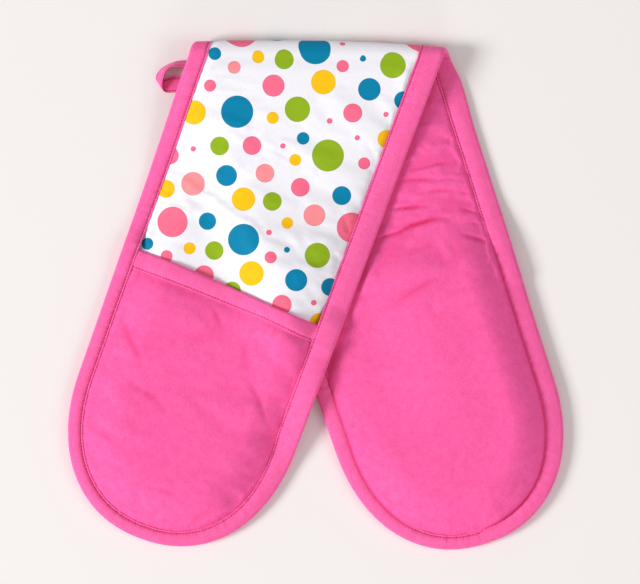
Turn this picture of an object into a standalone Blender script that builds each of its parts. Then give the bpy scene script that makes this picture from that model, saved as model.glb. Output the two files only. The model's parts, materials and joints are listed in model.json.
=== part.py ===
"""Double oven glove: one padded cotton strip with a hand pocket at each end.

The strip is folded across its middle on a skewed line, front side out, so its two arms lie as a V.
The upper arm has its pocket up. The lower arm lies under it, pocket down, and shows its plain back.

Metres, +Z up. The glove lies flat, with the origin under the middle of its bounding box, the fold
towards +Y and the toes towards -Y. An arm's own plan coordinates are s, along the arm from the
middle of the fold, and v, across it. The inset of a point is how far it lies in from the outline.
"""

import math

import bmesh
import bpy
import numpy as np

# Outline of the strip
HALF_WIDTH_MIDDLE = 0.0948
HALF_WIDTH_TOE = 0.0915
ARM_STRAIGHT = 0.308
TOE_LENGTH = 0.110
TOE_FULLNESS = 2.19
ARM_ANGLE = math.radians(19.2)

# Cloth, wadding and the gaps that keep neighbouring pieces apart
GAP = 0.0003
CLOTH = 0.0006
WADDING_EDGE = 0.0010
WADDING_MIDDLE = 0.0058
POCKET_WADDING_EDGE = 0.0008
POCKET_WADDING_MIDDLE = 0.0030
CROWN_REACH = 0.012

# Bias binding round the edge and over the pocket's mouth
BINDING_WIDTH = 0.013
BINDING_CLOTH = 0.0007
BINDING_ROOM = GAP + BINDING_CLOTH
PANEL_INSET = 0.0015
EDGE_ROUNDING = 0.6
EDGE_FLAT_SHARE = 0.5
FLOOR_RELIEF = 0.008

# Hand pocket
MOUTH = 0.210
HAND_ROOM = 0.0070
HAND_ROOM_REACH = 0.030
HEM_FADE = 0.010
MOUTH_STEP = 0.013
DROOP_LENGTH = 0.060

# Bend of the middle fold, and how the upper arm drapes over the lower one
BEND_INNER = 0.0030
BEND_STEPS = 9
FOLD_SPRING = 0.110
OVERLAP_MIDDLE = 0.150
DRAPE_REACH = 0.060
DRAPE_SEAT = 0.008
REST_THIN = 0.0083
REST_THICK = 0.0148
REST_RISE_FROM = 0.110
REST_RISE_LENGTH = 0.080
PRESSED_FROM = 0.048
PRESSED_FADE = 0.060
PRESSED_UNTIL = 0.290

# Hanging loop of tape, sewn into the middle of the lower arm's inner edge. Its foot rim lies on
# the table. Its top rim stands over the leg nearer the fold and lies down flat at the other leg.
LOOP_SEAM = -0.0068
FOOT_MIDDLE = -0.0200
FOOT_HALF = 0.0063
FOOT_REACH = -0.1310
FOOT_TURN = 0.0240
TOP_MIDDLE = -0.0298
TOP_HALF = 0.0101
TOP_REACH = -0.1258
TOP_TURN = 0.0110
TOP_HEIGHT = 0.0118
LIES_DOWN_FROM = 0.30
LIES_DOWN_OVER = 0.62
TAPE_THICKNESS = 0.0012
TURN_STEPS = 10

# Grid that all the layers of an arm share
SKEWED_ROWS = 7
SQUARE_FROM = 0.180
ROW_CROWDING = 1.15
LAST_ROW_SHARES = (0.35, 0.70, 1.0)
TOE_ROWS = 9
INNER_COLUMNS = 10
OUTLINE_START = -0.080
OUTLINE_SAMPLES = 240

BODY_MIDDLE = 2 * CLOTH + 2 * GAP + WADDING_MIDDLE
BEND_OUTER = BEND_INNER + BODY_MIDDLE

COLOURS = {
    "printed_cotton": ((0.88, 0.86, 0.90), 0.85),
    "pink_cotton": ((0.98, 0.14, 0.39), 0.85),
    "pink_binding": ((0.93, 0.13, 0.37), 0.80),
    "wadding": ((0.86, 0.85, 0.82), 0.95),
}


def smooth(value):
    """Smooth step from 0 to 1 as value goes from 0 to 1."""
    value = np.clip(value, 0.0, 1.0)
    return value * value * (3.0 - 2.0 * value)


# Plan of one arm


def half_width(s):
    """Half the strip's width at a distance s from the fold, before the toe's curve."""
    share = np.clip(s / ARM_STRAIGHT, -0.2, 1.0)
    return HALF_WIDTH_MIDDLE + (HALF_WIDTH_TOE - HALF_WIDTH_MIDDLE) * share


def toe_point(angle, side):
    """Point of the toe's superellipse: angle 0 is where it starts, 90 degrees is the tip."""
    power = 2.0 / TOE_FULLNESS
    s = ARM_STRAIGHT + TOE_LENGTH * math.sin(angle) ** power
    v = side * HALF_WIDTH_TOE * max(math.cos(angle), 0.0) ** power
    return np.array([s, v])


def toe_normal(angle, side):
    """Direction into the glove, square to the toe's outline."""
    point = toe_point(angle, side) - np.array([ARM_STRAIGHT, 0.0])
    power = TOE_FULLNESS - 1.0
    slope_s = (point[0] / TOE_LENGTH) ** power / TOE_LENGTH
    slope_v = (abs(point[1]) / HALF_WIDTH_TOE) ** power / HALF_WIDTH_TOE * side
    inward = -np.array([slope_s, slope_v])
    return inward / np.linalg.norm(inward)


def fold_reach(side):
    """Distance s at which an edge of the upper arm meets the end of the bend."""
    s = 0.0
    for _ in range(4):
        v = side * half_width(s)
        s = (BEND_OUTER + GAP - v * math.sin(ARM_ANGLE)) / math.cos(ARM_ANGLE)
    return float(s)


def straight_rows():
    """Distances s of each straight row's two ends: (left, right), from the fold to the toe."""
    left, right = fold_reach(-1), fold_reach(1)
    rows = []
    for step in range(SKEWED_ROWS + 1):
        share = (step / SKEWED_ROWS) ** ROW_CROWDING
        ends = (left + (SQUARE_FROM - left) * share, right + (SQUARE_FROM - right) * share)
        rows.append(ends)
    hem_end = MOUTH + BINDING_WIDTH
    square = (MOUTH - MOUTH_STEP, MOUTH - PANEL_INSET, MOUTH, hem_end, hem_end + HEM_FADE)
    for s in square:
        rows.append((s, s))
    span = ARM_STRAIGHT - square[-1]
    for share in LAST_ROW_SHARES:
        rows.append((square[-1] + span * share, square[-1] + span * share))
    return rows


ROWS = straight_rows()
MOUTH_ROW = SKEWED_ROWS + 3


def station(row, side, inset):
    """Plan point s, v at an inset from the outline, at one end of a row. The tip is one row more."""
    if row < len(ROWS):
        left, right = ROWS[row]
        across = side * (half_width(ROWS[row][(side + 1) // 2]) - inset)
        share = (across + half_width(left)) / (half_width(left) + half_width(right))
        return np.array([left + (right - left) * share, across])
    number = row - len(ROWS) + 1
    if number > TOE_ROWS:
        return np.array([ARM_STRAIGHT + TOE_LENGTH - inset, 0.0])
    angle = math.pi / 2 * number / (TOE_ROWS + 1)
    return toe_point(angle, side) + inset * toe_normal(angle, side)


def outline():
    """Closed side and toe of the arm as many points, for measuring insets."""
    straight = np.linspace(OUTLINE_START, ARM_STRAIGHT, OUTLINE_SAMPLES)
    angles = np.linspace(0.0, math.pi / 2, OUTLINE_SAMPLES)
    right = np.concatenate(
        [
            np.stack([straight, half_width(straight)], axis=1),
            np.array([toe_point(angle, 1) for angle in angles]),
        ]
    )
    return np.concatenate([right, right * (1.0, -1.0)])


OUTLINE = outline()


def inset_of(points):
    """How far each plan point lies in from the outline."""
    apart = points[:, None, :] - OUTLINE[None, :, :]
    return np.sqrt((apart**2).sum(axis=2)).min(axis=1)


def grid_row(row):
    """Plan points of one row: bare edge, binding's inner edge, then cosine steps to the other side."""
    left = station(row, -1, BINDING_WIDTH)
    right = station(row, 1, BINDING_WIDTH)
    turn = np.linspace(0.0, math.pi, INNER_COLUMNS + 1)
    share = ((1.0 - np.cos(turn)) / 2.0)[:, None]
    inner = left + (right - left) * share
    return np.concatenate(
        [
            station(row, -1, PANEL_INSET)[None],
            inner,
            station(row, 1, PANEL_INSET)[None],
        ]
    )


def arm_grid(first_row):
    """Plan points (N x 2), insets and faces of a sheet that runs from a row to the toe."""
    last = len(ROWS) + TOE_ROWS
    rows = [grid_row(row) for row in range(first_row, last)]
    wide = len(rows[0])
    points = np.concatenate([*rows, [station(last, 1, PANEL_INSET), station(last, 1, BINDING_WIDTH)]])
    edge_tip, inner_tip = len(points) - 2, len(points) - 1
    insets = np.clip(inset_of(points), BINDING_WIDTH, None)
    edge = [row * wide + column for row in range(len(rows)) for column in (0, wide - 1)]
    insets[[*edge, edge_tip]] = PANEL_INSET
    faces = []
    for row in range(len(rows) - 1):
        for column in range(wide - 1):
            first = row * wide + column
            faces.append((first, first + 1, first + wide + 1, first + wide))
    start = (len(rows) - 1) * wide
    faces.append((start, start + 1, inner_tip, edge_tip))
    for column in range(1, wide - 2):
        faces.append((start + column, start + column + 1, inner_tip))
    faces.append((start + wide - 2, start + wide - 1, edge_tip, inner_tip))
    return points, insets, faces


def plan(points, side):
    """World x, y of plan points s, v: side -1 is the upper, left arm and 1 its mirror image."""
    s, v = points[..., 0], points[..., 1]
    x = -s * math.sin(ARM_ANGLE) + v * math.cos(ARM_ANGLE)
    y = -s * math.cos(ARM_ANGLE) - v * math.sin(ARM_ANGLE)
    return np.stack([-side * x, y], axis=-1)


# Heights


def crown(inset):
    """0 at the binding's inner edge, rising to 1 over the padded middle."""
    return 1.0 - np.exp(-np.clip(inset - BINDING_WIDTH, 0.0, None) / CROWN_REACH)


def wadding(inset):
    return WADDING_EDGE + (WADDING_MIDDLE - WADDING_EDGE) * crown(inset)


def pocket_wadding(inset):
    return POCKET_WADDING_EDGE + (POCKET_WADDING_MIDDLE - POCKET_WADDING_EDGE) * crown(inset)


def body(inset):
    return 2 * CLOTH + 2 * GAP + wadding(inset)


def pocket(inset):
    return 2 * CLOTH + 2 * GAP + pocket_wadding(inset)


def relief(inset):
    """Height kept free under or over a face for the binding's flat leg."""
    return BINDING_ROOM * (1.0 - smooth((inset - BINDING_WIDTH) / FLOOR_RELIEF))


def hem_share(s):
    """1 where the mouth's binding lies and before it, 0 past it."""
    return 1.0 - smooth((s - MOUTH - BINDING_WIDTH) / HEM_FADE)


def hand_room(s, inset, pressed):
    """Height of the empty pocket. It stays open for the hem, and pressed cloth lies nearly closed."""
    least = GAP + BINDING_ROOM * hem_share(s)
    rise = smooth((inset - BINDING_WIDTH) / HAND_ROOM_REACH)
    return np.maximum(least, GAP + (HAND_ROOM - GAP) * rise * pressed)


def over_edge(x, y):
    """How far a world point lies to the right of the lower arm's inner edge."""
    return x * math.cos(ARM_ANGLE) + y * math.sin(ARM_ANGLE) + half_width(OVERLAP_MIDDLE)


def support(x, y):
    """Height of what the upper arm lies on: the lower arm, falling to the table beside it."""
    thick = REST_THIN + (REST_THICK - REST_THIN) * smooth((-y - REST_RISE_FROM) / REST_RISE_LENGTH)
    return thick * smooth((over_edge(x, y) + DRAPE_REACH) / (DRAPE_REACH + DRAPE_SEAT))


def upper_levels(points, inset):
    """Heights of the upper arm: (body low, body high, pocket low, pocket high)."""
    place = plan(points, -1)
    x, y = place[..., 0], place[..., 1]
    sprung = 2 * BEND_OUTER - relief(inset) - body(inset)
    settled = support(x, y) + relief(inset)
    share = smooth((-y - BEND_OUTER - GAP) / FOLD_SPRING)
    low = sprung + (settled - sprung) * share
    high = low + body(inset)
    pocket_low = high + hand_room(points[..., 0], inset, 1.0)
    return low, high, pocket_low, pocket_low + pocket(inset)


def lower_levels(points, inset):
    """Heights of the lower arm, whose pocket lies under its body, in the same order."""
    s, v = points[..., 0], points[..., 1]
    covered = 1.0 - smooth((s - PRESSED_UNTIL) / PRESSED_FADE)
    from_inner_edge = half_width(s) - v
    pressed = 1.0 - covered * (1.0 - smooth((from_inner_edge - PRESSED_FROM) / PRESSED_FADE))
    pocket_low = relief(inset) + BINDING_ROOM * hem_share(s)
    pocket_high = pocket_low + pocket(inset)
    raised = pocket_high + hand_room(s, inset, pressed) - relief(inset)
    droop = smooth((s - MOUTH + DROOP_LENGTH) / DROOP_LENGTH)
    low = relief(inset) + raised * droop
    return low, low + body(inset), pocket_low, pocket_high


# Closed solids


def finish_object(name, form, colour, parent, offset=(0.0, 0.0, 0.0)):
    """Turn a bmesh into a named object under its parent empty, with its own material."""
    bmesh.ops.recalc_face_normals(form, faces=form.faces[:])
    bmesh.ops.triangulate(form, faces=form.faces[:])
    mesh = bpy.data.meshes.new(name)
    form.to_mesh(mesh)
    form.free()
    mesh.shade_smooth()
    mesh.set_sharp_from_angle(angle=math.radians(50))
    base, roughness = COLOURS[colour]
    material = bpy.data.materials.new(name)
    material.use_nodes = True
    shader = material.node_tree.nodes["Principled BSDF"]
    shader.inputs["Base Color"].default_value = (*base, 1.0)
    shader.inputs["Roughness"].default_value = roughness
    shader.inputs["Metallic"].default_value = 0.0
    mesh.materials.append(material)
    item = bpy.data.objects.new(name, mesh)
    item.parent = parent
    item.location = offset
    bpy.context.scene.collection.objects.link(item)
    return item


def sheet(first, second, faces):
    """Closed sheet between two surfaces of the same faces, made by extruding the first one."""
    form = bmesh.new()
    number = form.verts.layers.int.new("number")
    points = [form.verts.new(point) for point in first]
    for index, vert in enumerate(points):
        vert[number] = index
    for face in faces:
        form.faces.new([points[index] for index in face])
    made = bmesh.ops.extrude_face_region(form, geom=form.faces[:])
    for vert in made["geom"]:
        if isinstance(vert, bmesh.types.BMVert):
            vert.co = second[vert[number]]
    return form


def swept(sections):
    """Closed solid through a run of like sections, each a loop of points."""
    form = bmesh.new()
    loops = [[form.verts.new(point) for point in section] for section in sections]
    form.faces.new(loops[0])
    form.faces.new(loops[-1][::-1])
    for near, far in zip(loops, loops[1:]):
        for index in range(len(near)):
            after = (index + 1) % len(near)
            form.faces.new((near[index], far[index], far[after], near[after]))
    return form


def placed(points, heights, side, offset):
    """World points of an arm's plan points at these heights, less the parent's own place."""
    return np.column_stack([plan(points, side), heights]) - np.array(offset)


# The pieces of one arm


def arm_sheets(name, levels, side, parent, offset):
    """Front panel, wadding and back panel, and the pocket's lining, wadding and front."""
    turned = side > 0
    points, inset, faces = arm_grid(0)
    low, high, _, _ = levels(points, inset)
    skin_low, skin_high = ("front_panel", "back_panel") if turned else ("back_panel", "front_panel")
    layers = [
        (skin_low, low, low + CLOTH),
        ("wadding", low + CLOTH + GAP, high - CLOTH - GAP),
        (skin_high, high - CLOTH, high),
    ]
    colours = {"front_panel": "printed_cotton", "back_panel": "pink_cotton", "wadding": "wadding"}
    for layer, under, over in layers:
        form = sheet(placed(points, under, side, offset), placed(points, over, side, offset), faces)
        finish_object(f"{name}_{layer}", form, colours[layer], parent)

    points, inset, faces = arm_grid(MOUTH_ROW)
    _, _, low, high = levels(points, inset)
    skin_low, skin_high = ("pocket_front", "pocket_lining") if turned else ("pocket_lining", "pocket_front")
    layers = [
        (skin_low, low, low + CLOTH, "pink_cotton"),
        ("pocket_wadding", low + CLOTH + GAP, high - CLOTH - GAP, "wadding"),
        (skin_high, high - CLOTH, high, "pink_cotton"),
    ]
    for layer, under, over, colour in layers:
        form = sheet(placed(points, under, side, offset), placed(points, over, side, offset), faces)
        finish_object(f"{name}_{layer}", form, colour, parent)


def channel(edge, low, high):
    """Section of the folded binding from the inner edge of one leg, round the edge, to the other.

    edge gives the place at an inset. low and high are the wrapped faces' heights, each as
    (at the panels' edge, at the binding's inner edge).
    """
    wall = PANEL_INSET - GAP
    round_in = wall * EDGE_ROUNDING
    middle = (low[0] + high[0]) / 2
    rounded = (high[0] - low[0]) * EDGE_FLAT_SHARE / 2
    rim = (
        (BINDING_WIDTH, high[1] + GAP),
        (wall, high[0] + GAP),
        (wall, low[0] - GAP),
        (BINDING_WIDTH, low[1] - GAP),
        (BINDING_WIDTH, low[1] - BINDING_ROOM),
        (round_in, low[0] - BINDING_ROOM),
        (0.0, middle - rounded),
        (0.0, middle + rounded),
        (round_in, high[0] + BINDING_ROOM),
        (BINDING_WIDTH, high[1] + BINDING_ROOM),
    )
    return [edge(inset, height) for inset, height in rim]


def arm_binding(name, levels, side, parent, offset):
    """Binding round both sides and the toe. Past the mouth it wraps the pocket as well."""
    last = len(ROWS) + TOE_ROWS
    stops = [(row, -1) for row in range(last)] + [(last, 1)]
    stops += [(row, 1) for row in range(last - 1, -1, -1)]
    sections = []
    for row, end in stops:
        faces = []
        for inset in (PANEL_INSET, BINDING_WIDTH):
            point = station(row, end, inset)
            low, high, pocket_low, pocket_high = levels(point, np.float64(inset))
            extra = BINDING_ROOM * hem_share(point[0])
            if row >= MOUTH_ROW - 1 and side < 0:
                high = pocket_high + extra
            if row >= MOUTH_ROW - 1 and side > 0:
                low = pocket_low - extra
            faces.append((low, high))

        def edge(inset, height, row=row, end=end):
            return placed(station(row, end, inset)[None], [height], side, offset)[0]

        sections.append(channel(edge, *zip(*faces)))
    return finish_object(f"{name}_edge_binding", swept(sections), "pink_binding", parent)


def pocket_hem(name, levels, side, parent, offset):
    """Binding folded over the pocket's mouth. Its ends run on under the edge binding."""
    sections = []
    for point in grid_row(MOUTH_ROW):
        across = half_width(MOUTH) - abs(point[1])
        at_edge = across < BINDING_WIDTH - GAP
        lows, highs = [], []
        for s in (MOUTH, MOUTH + BINDING_WIDTH):
            inset = PANEL_INSET if at_edge else inset_of(np.array([[s, point[1]]]))[0]
            inset = inset if at_edge else max(inset, BINDING_WIDTH)
            _, _, low, high = levels(np.array([s, point[1]]), np.float64(inset))
            lows.append(low)
            highs.append(high)

        def edge(inset, height, v=point[1]):
            s = MOUTH - PANEL_INSET + GAP + inset
            s = min(s, MOUTH + BINDING_WIDTH)
            return placed(np.array([[s, v]]), [height], side, offset)[0]

        sections.append(channel(edge, lows, highs))
    return finish_object(f"{name}_pocket_hem", swept(sections), "pink_binding", parent)


# The bend of the middle fold


def bend_columns():
    """World x of each column where the bend leaves the upper arm and where it joins the lower."""
    upper = plan(grid_row(0), -1)[:, 0]
    lower = plan(grid_row(0), 1)[::-1, 0]
    return upper, lower


def bend_point(x_upper, x_lower, radius, share):
    """Point of the bend at a radius, with share 0 at the lower arm and 1 at the upper."""
    angle = share * math.pi
    x = x_lower + (x_upper - x_lower) * share
    y = -BEND_OUTER + radius * math.sin(angle)
    z = BEND_OUTER - radius * math.cos(angle)
    return (x, y, z)


def bend_sheets(parent):
    """Front panel, wadding and back panel where they turn round the fold."""
    upper, lower = bend_columns()
    inset = np.clip(np.minimum(upper - upper[0], upper[-1] - upper), 0.0, None)
    inset = inset * math.cos(ARM_ANGLE) + PANEL_INSET
    inset[1:-1] = np.clip(inset[1:-1], BINDING_WIDTH, None)
    outer = BEND_OUTER - relief(inset)
    inner = outer - body(inset)
    layers = (
        ("front_panel", outer, outer - CLOTH, "printed_cotton"),
        ("wadding", outer - CLOTH - GAP, inner + CLOTH + GAP, "wadding"),
        ("back_panel", inner + CLOTH, inner, "pink_cotton"),
    )
    wide = len(upper)
    steps = range(BEND_STEPS + 1)
    faces = [
        (step * wide + column, step * wide + column + 1, (step + 1) * wide + column + 1, (step + 1) * wide + column)
        for step in range(BEND_STEPS)
        for column in range(wide - 1)
    ]
    for layer, far, near, colour in layers:
        surfaces = [
            [
                bend_point(upper[column], lower[column], radius[column], step / BEND_STEPS)
                for step in steps
                for column in range(wide)
            ]
            for radius in (far, near)
        ]
        finish_object(f"fold_{layer}", sheet(*surfaces, faces), colour, parent)


def bend_binding(name, end, parent):
    """Binding of one edge where it turns round the fold."""
    inset = np.array([PANEL_INSET, BINDING_WIDTH])
    outer = BEND_OUTER - relief(inset)
    inner = outer - body(inset)
    sections = []
    for step in range(BEND_STEPS + 1):

        def edge(inset, radius, share=step / BEND_STEPS):
            near = plan(station(0, end, inset), -1)[0]
            far = plan(station(0, -end, inset), 1)[0]
            return bend_point(near, far, radius, share)

        sections.append(channel(edge, inner, outer))
    return finish_object(name, swept(sections), "pink_binding", parent)


# The hanging loop


def loop_rim(turn, middle, half, reach, length):
    """Plan points of one rim: a half ellipse, between ends that lie on the lower arm's edge."""
    x = reach + length * (1.0 - np.cos(turn))
    y = middle - half * np.sin(turn)
    ends = y[[0, -1]]
    edge = -(half_width(LOOP_SEAM) + GAP + ends * math.sin(ARM_ANGLE)) / math.cos(ARM_ANGLE)
    return np.column_stack([np.r_[edge[0], x, edge[1]], np.r_[ends[0], y, ends[1]]])


def hang_loop(parent):
    """Loop of flat tape, with its origin on the seam that it swings about."""
    turn = np.radians(np.linspace(-90.0, 90.0, TURN_STEPS + 1))
    foot = loop_rim(turn, FOOT_MIDDLE, FOOT_HALF, FOOT_REACH, FOOT_TURN)
    top = loop_rim(turn, TOP_MIDDLE, TOP_HALF, TOP_REACH, TOP_TURN)
    share = np.linspace(0.0, 1.0, len(foot))
    standing = TOP_HEIGHT * (1.0 - smooth((share - LIES_DOWN_FROM) / LIES_DOWN_OVER))
    lift = GAP + TAPE_THICKNESS / 2
    foot = np.column_stack([foot, np.full(len(foot), lift)])
    top = np.column_stack([top, lift + standing])
    ahead = np.gradient((foot + top) / 2, axis=0)
    face = np.cross(ahead, top - foot)
    face *= TAPE_THICKNESS / 2 / np.linalg.norm(face, axis=1)[:, None]
    sections = np.stack([foot - face, foot + face, top + face, top - face], axis=1)
    for end in (0, -1):
        y = sections[end, :, 1]
        edge = half_width(LOOP_SEAM) + GAP + y * math.sin(ARM_ANGLE)
        sections[end, :, 0] = -edge / math.cos(ARM_ANGLE)
    seam = plan(np.array([LOOP_SEAM, half_width(LOOP_SEAM)]), 1)
    place = (seam[0], seam[1], GAP)
    return finish_object("hang_loop", swept(sections - np.array(place)), "pink_binding", parent, place)


# Assembly


def empty(name, place, parent=None):
    item = bpy.data.objects.new(name, None)
    item.empty_display_size = 0.03
    item.location = place
    item.parent = parent
    bpy.context.scene.collection.objects.link(item)
    return item


def main():
    for item in list(bpy.data.objects):
        bpy.data.objects.remove(item)
    last = len(ROWS) + TOE_ROWS
    edge = np.array([station(row, end, 0.0) for row in range(last + 1) for end in (-1, 1)])
    length = -plan(edge, 1)[:, 1].min()
    glove = empty("glove", (0.0, length / 2, 0.0))
    fold_axis = (0.0, -BEND_OUTER, BEND_OUTER)
    upper = empty("middle_fold_axis", fold_axis, glove)

    arms = (
        ("lower", lower_levels, 1, glove, (0.0, 0.0, 0.0)),
        ("upper", upper_levels, -1, upper, fold_axis),
    )
    for arm in arms:
        arm_sheets(*arm)
        arm_binding(*arm)
        pocket_hem(*arm)
    bend_sheets(glove)
    bend_binding("fold_left_binding", -1, glove)
    bend_binding("fold_right_binding", 1, glove)
    hang_loop(glove)


if __name__ == "__main__":
    main()
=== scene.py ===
import json
import math

import bpy
import numpy as np
from bpy.props import FloatProperty, FloatVectorProperty, IntProperty, PointerProperty
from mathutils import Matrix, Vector

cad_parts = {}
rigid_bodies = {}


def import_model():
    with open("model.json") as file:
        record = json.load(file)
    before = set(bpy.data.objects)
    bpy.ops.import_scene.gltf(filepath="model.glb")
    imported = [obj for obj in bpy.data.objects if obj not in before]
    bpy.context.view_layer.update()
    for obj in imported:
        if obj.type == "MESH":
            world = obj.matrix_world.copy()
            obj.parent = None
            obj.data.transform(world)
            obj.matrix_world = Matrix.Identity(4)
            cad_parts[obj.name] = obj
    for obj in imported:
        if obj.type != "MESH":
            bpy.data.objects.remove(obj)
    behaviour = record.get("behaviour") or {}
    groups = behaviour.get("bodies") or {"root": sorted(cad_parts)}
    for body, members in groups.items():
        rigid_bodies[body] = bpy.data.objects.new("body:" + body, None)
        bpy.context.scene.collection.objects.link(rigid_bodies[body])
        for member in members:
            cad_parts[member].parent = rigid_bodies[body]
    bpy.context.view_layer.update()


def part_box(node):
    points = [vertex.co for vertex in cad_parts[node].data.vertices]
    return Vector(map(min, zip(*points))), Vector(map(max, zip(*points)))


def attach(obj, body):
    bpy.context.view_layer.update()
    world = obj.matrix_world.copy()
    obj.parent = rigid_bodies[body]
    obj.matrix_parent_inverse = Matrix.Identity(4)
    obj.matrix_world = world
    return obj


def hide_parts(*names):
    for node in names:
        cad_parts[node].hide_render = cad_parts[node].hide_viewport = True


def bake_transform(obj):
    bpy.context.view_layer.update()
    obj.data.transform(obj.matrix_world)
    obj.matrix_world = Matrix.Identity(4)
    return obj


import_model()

bl_info = {
    "name": "Double oven glove",
    "version": (1, 0, 0),
    "blender": (4, 5, 0),
    "location": "3D View > Sidebar > Oven glove",
    "description": "Makes the cloth, wadding, bias binding and stitching of a double oven glove",
    "category": "Object",
}

# The strip, folded in two on a skewed line. An arm's plan coordinates are s, along it from the
# middle of the fold, and v, across it. The inner edge of both arms is at positive v.
FOLD_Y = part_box("fold_front_panel")[1].y
HALF_WIDTH_MIDDLE = 0.0948
HALF_WIDTH_TOE = 0.0915
ARM_STRAIGHT = 0.308
TOE_LENGTH = 0.110
TOE_FULLNESS = 2.19
ARM_ANGLE = math.radians(19.2)
TAN, SIN, COS = math.tan(ARM_ANGLE), math.sin(ARM_ANGLE), math.cos(ARM_ANGLE)
SQUARE_FROM = 0.180
TOE_CLOSED = math.radians(88.5)

# Cloth and wadding
GAP = 0.0003
CLOTH = 0.0006
WADDING_EDGE, WADDING_MIDDLE = 0.0010, 0.0058
POCKET_WADDING_EDGE, POCKET_WADDING_MIDDLE = 0.0008, 0.0030
CROWN_REACH = 0.012
LEAST_WADDING = 0.0002

# Binding: its plain width, its cloth, and how far the panels stop short of the outline
BINDING_WIDTH = 0.013
BINDING_ROOM = 0.0010
PANEL_INSET = 0.0015
FLOOR_RELIEF = 0.008

# Hand pocket. The mouth's line is (v, s): on the upper arm it runs a little askew and curved.
MOUTH = 0.210
MOUTH_LINE = {
    "upper": (
        (-0.085, 0.2037), (-0.045, 0.2041), (-0.030, 0.2048), (-0.005, 0.2065), (0.038, 0.2098),
        (0.065, 0.2112), (0.085, 0.2112),
    ),
    "lower": ((-0.085, MOUTH), (0.085, MOUTH)),
}
HEM_WIDTH = ((-0.078, 0.0158), (-0.043, 0.0155), (0.0, 0.0142), (0.035, 0.0128), (0.074, 0.0145))
HAND_ROOM = 0.0070
HAND_ROOM_REACH = 0.030
HEM_FADE = 0.010
MOUTH_STEP = 0.022
DROOP_LENGTH = 0.060
# The hem presses the pocket, and the printed panel rises to meet it
HEM_PRESS = 0.6
MOUTH_LIFT, MOUTH_LIFT_FROM, MOUTH_LIFT_PAST, MOUTH_LIFT_FADE = 0.0054, 0.090, 0.006, 0.020

# Bend of the fold, and how the upper arm drapes over the lower one
BEND_OUTER = 0.0106
FIRST_LINE = BEND_OUTER + GAP
FOLD_SPRING = 0.110
# How far the fold bulges past its straight line: (x, bulge)
FOLD_LINE = (
    (-0.100, 0.0002), (-0.072, 0.0012), (-0.030, 0.0018), (0.010, 0.0019), (0.047, 0.0010),
    (0.076, -0.0007), (0.095, -0.0018), (0.103, -0.0026),
)
OVERLAP_MIDDLE = 0.150
DRAPE_REACH, DRAPE_SEAT = 0.045, 0.008
REST_THIN, REST_THICK = 0.0083, 0.0148
REST_RISE_FROM, REST_RISE_LENGTH = 0.110, 0.080
PRESSED_FROM, PRESSED_FADE, PRESSED_UNTIL = 0.048, 0.060, 0.290

# The cloth rises steeply beside the stitches, over what the solid has. The lower arm is stuffed
# fuller: it swells over the tape's inner edge and hides the stitches, most on its right side.
SHOULDER, SHOULDER_REACH = 0.0017, 0.0018
OVERHANG, OVERHANG_REACH, OVERHANG_RISE = 0.0019, 0.0026, 0.0008
OVERHANG_FROM, OVERHANG_LEFT_UNTIL = 0.165, 0.375
OVERHANG_GROWTH, OVERHANG_FADE, OVERHANG_TURN = 0.05, 0.02, 0.03
FULL_RIGHT, FULL_LEFT, FULL_RISE, FULL_FADE = 0.0036, 0.0014, 0.0016, 0.045
# The wadding's shoulder starts this much later, and its creases are deeper and wider
WADDING_BACK, WADDING_DEEPER, WADDING_WIDER = 0.0045, 1.4, 2.5

# Small gathers beside a stitch line: height, reach, and the lengths that they are mixed from
GATHER_HEIGHT, GATHER_REACH = 0.00017, 0.0050
GATHER_LENGTHS = (0.0043, 0.0061, 0.0083, 0.0131)

# Binding tape: its cloth, its dome over the wadding, its rounded rim, its stitch line, its cut
TAPE = 0.0010
TAPE_DOME = 0.0009
TAPE_RIM = 0.0032
STITCH_INSET = 0.0017
STITCH_GROOVE = 0.0006
THREAD_RISE = TAPE - STITCH_GROOVE + 0.00012
# Where the tape's inside lies on the flat cloth, clear of the needle holes
TAPE_INSIDE = -0.004
EDGE_STEP, TOE_RUN = 0.0015, 0.155
SKEW_LENGTH, DOME_LENGTH, HEM_DOME, HEM_SHORT = 0.10, 0.03, 0.7, 0.003
GROOVE_WIDTH, TAPE_GATHERED = 0.0008, 1.5

# The band beside a seam where a seen panel's columns crowd together, from the panel's rim
SEAM_FROM, SEAM_UNTIL = 0.0070, 0.0210

# Width of the binding's visible leg, as (s, width) along each edge. One edge's fades into the
# other's over LEG_FADE, across the middle of the arm.
LEG_FADE = 0.06
LEGS = {
    ("upper", -1): ((0.0, 0.0142), (0.12, 0.0138), (0.25, 0.0120), (0.418, 0.0120)),
    ("upper", 1): ((0.0, 0.0190), (0.30, 0.0185), (0.37, 0.0140), (0.418, 0.0120)),
    ("lower", -1): (
        (0.0, 0.0160), (0.08, 0.0152), (0.15, 0.0154), (0.20, 0.0164), (0.25, 0.0166),
        (0.30, 0.0169), (0.36, 0.0168), (0.40, 0.0157), (0.418, 0.0138),
    ),
    ("lower", 1): ((0.0, 0.0145), (0.30, 0.0145), (0.37, 0.0130), (0.418, 0.0115)),
}

# How far the lower arm's right edge stands out past its even taper: (s, distance)
RIGHT_EDGE = (
    (0.046, 0.0), (0.062, 0.0026), (0.078, 0.0024), (0.10, 0.0012), (0.21, 0.0008), (0.26, 0.0),
)

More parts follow.
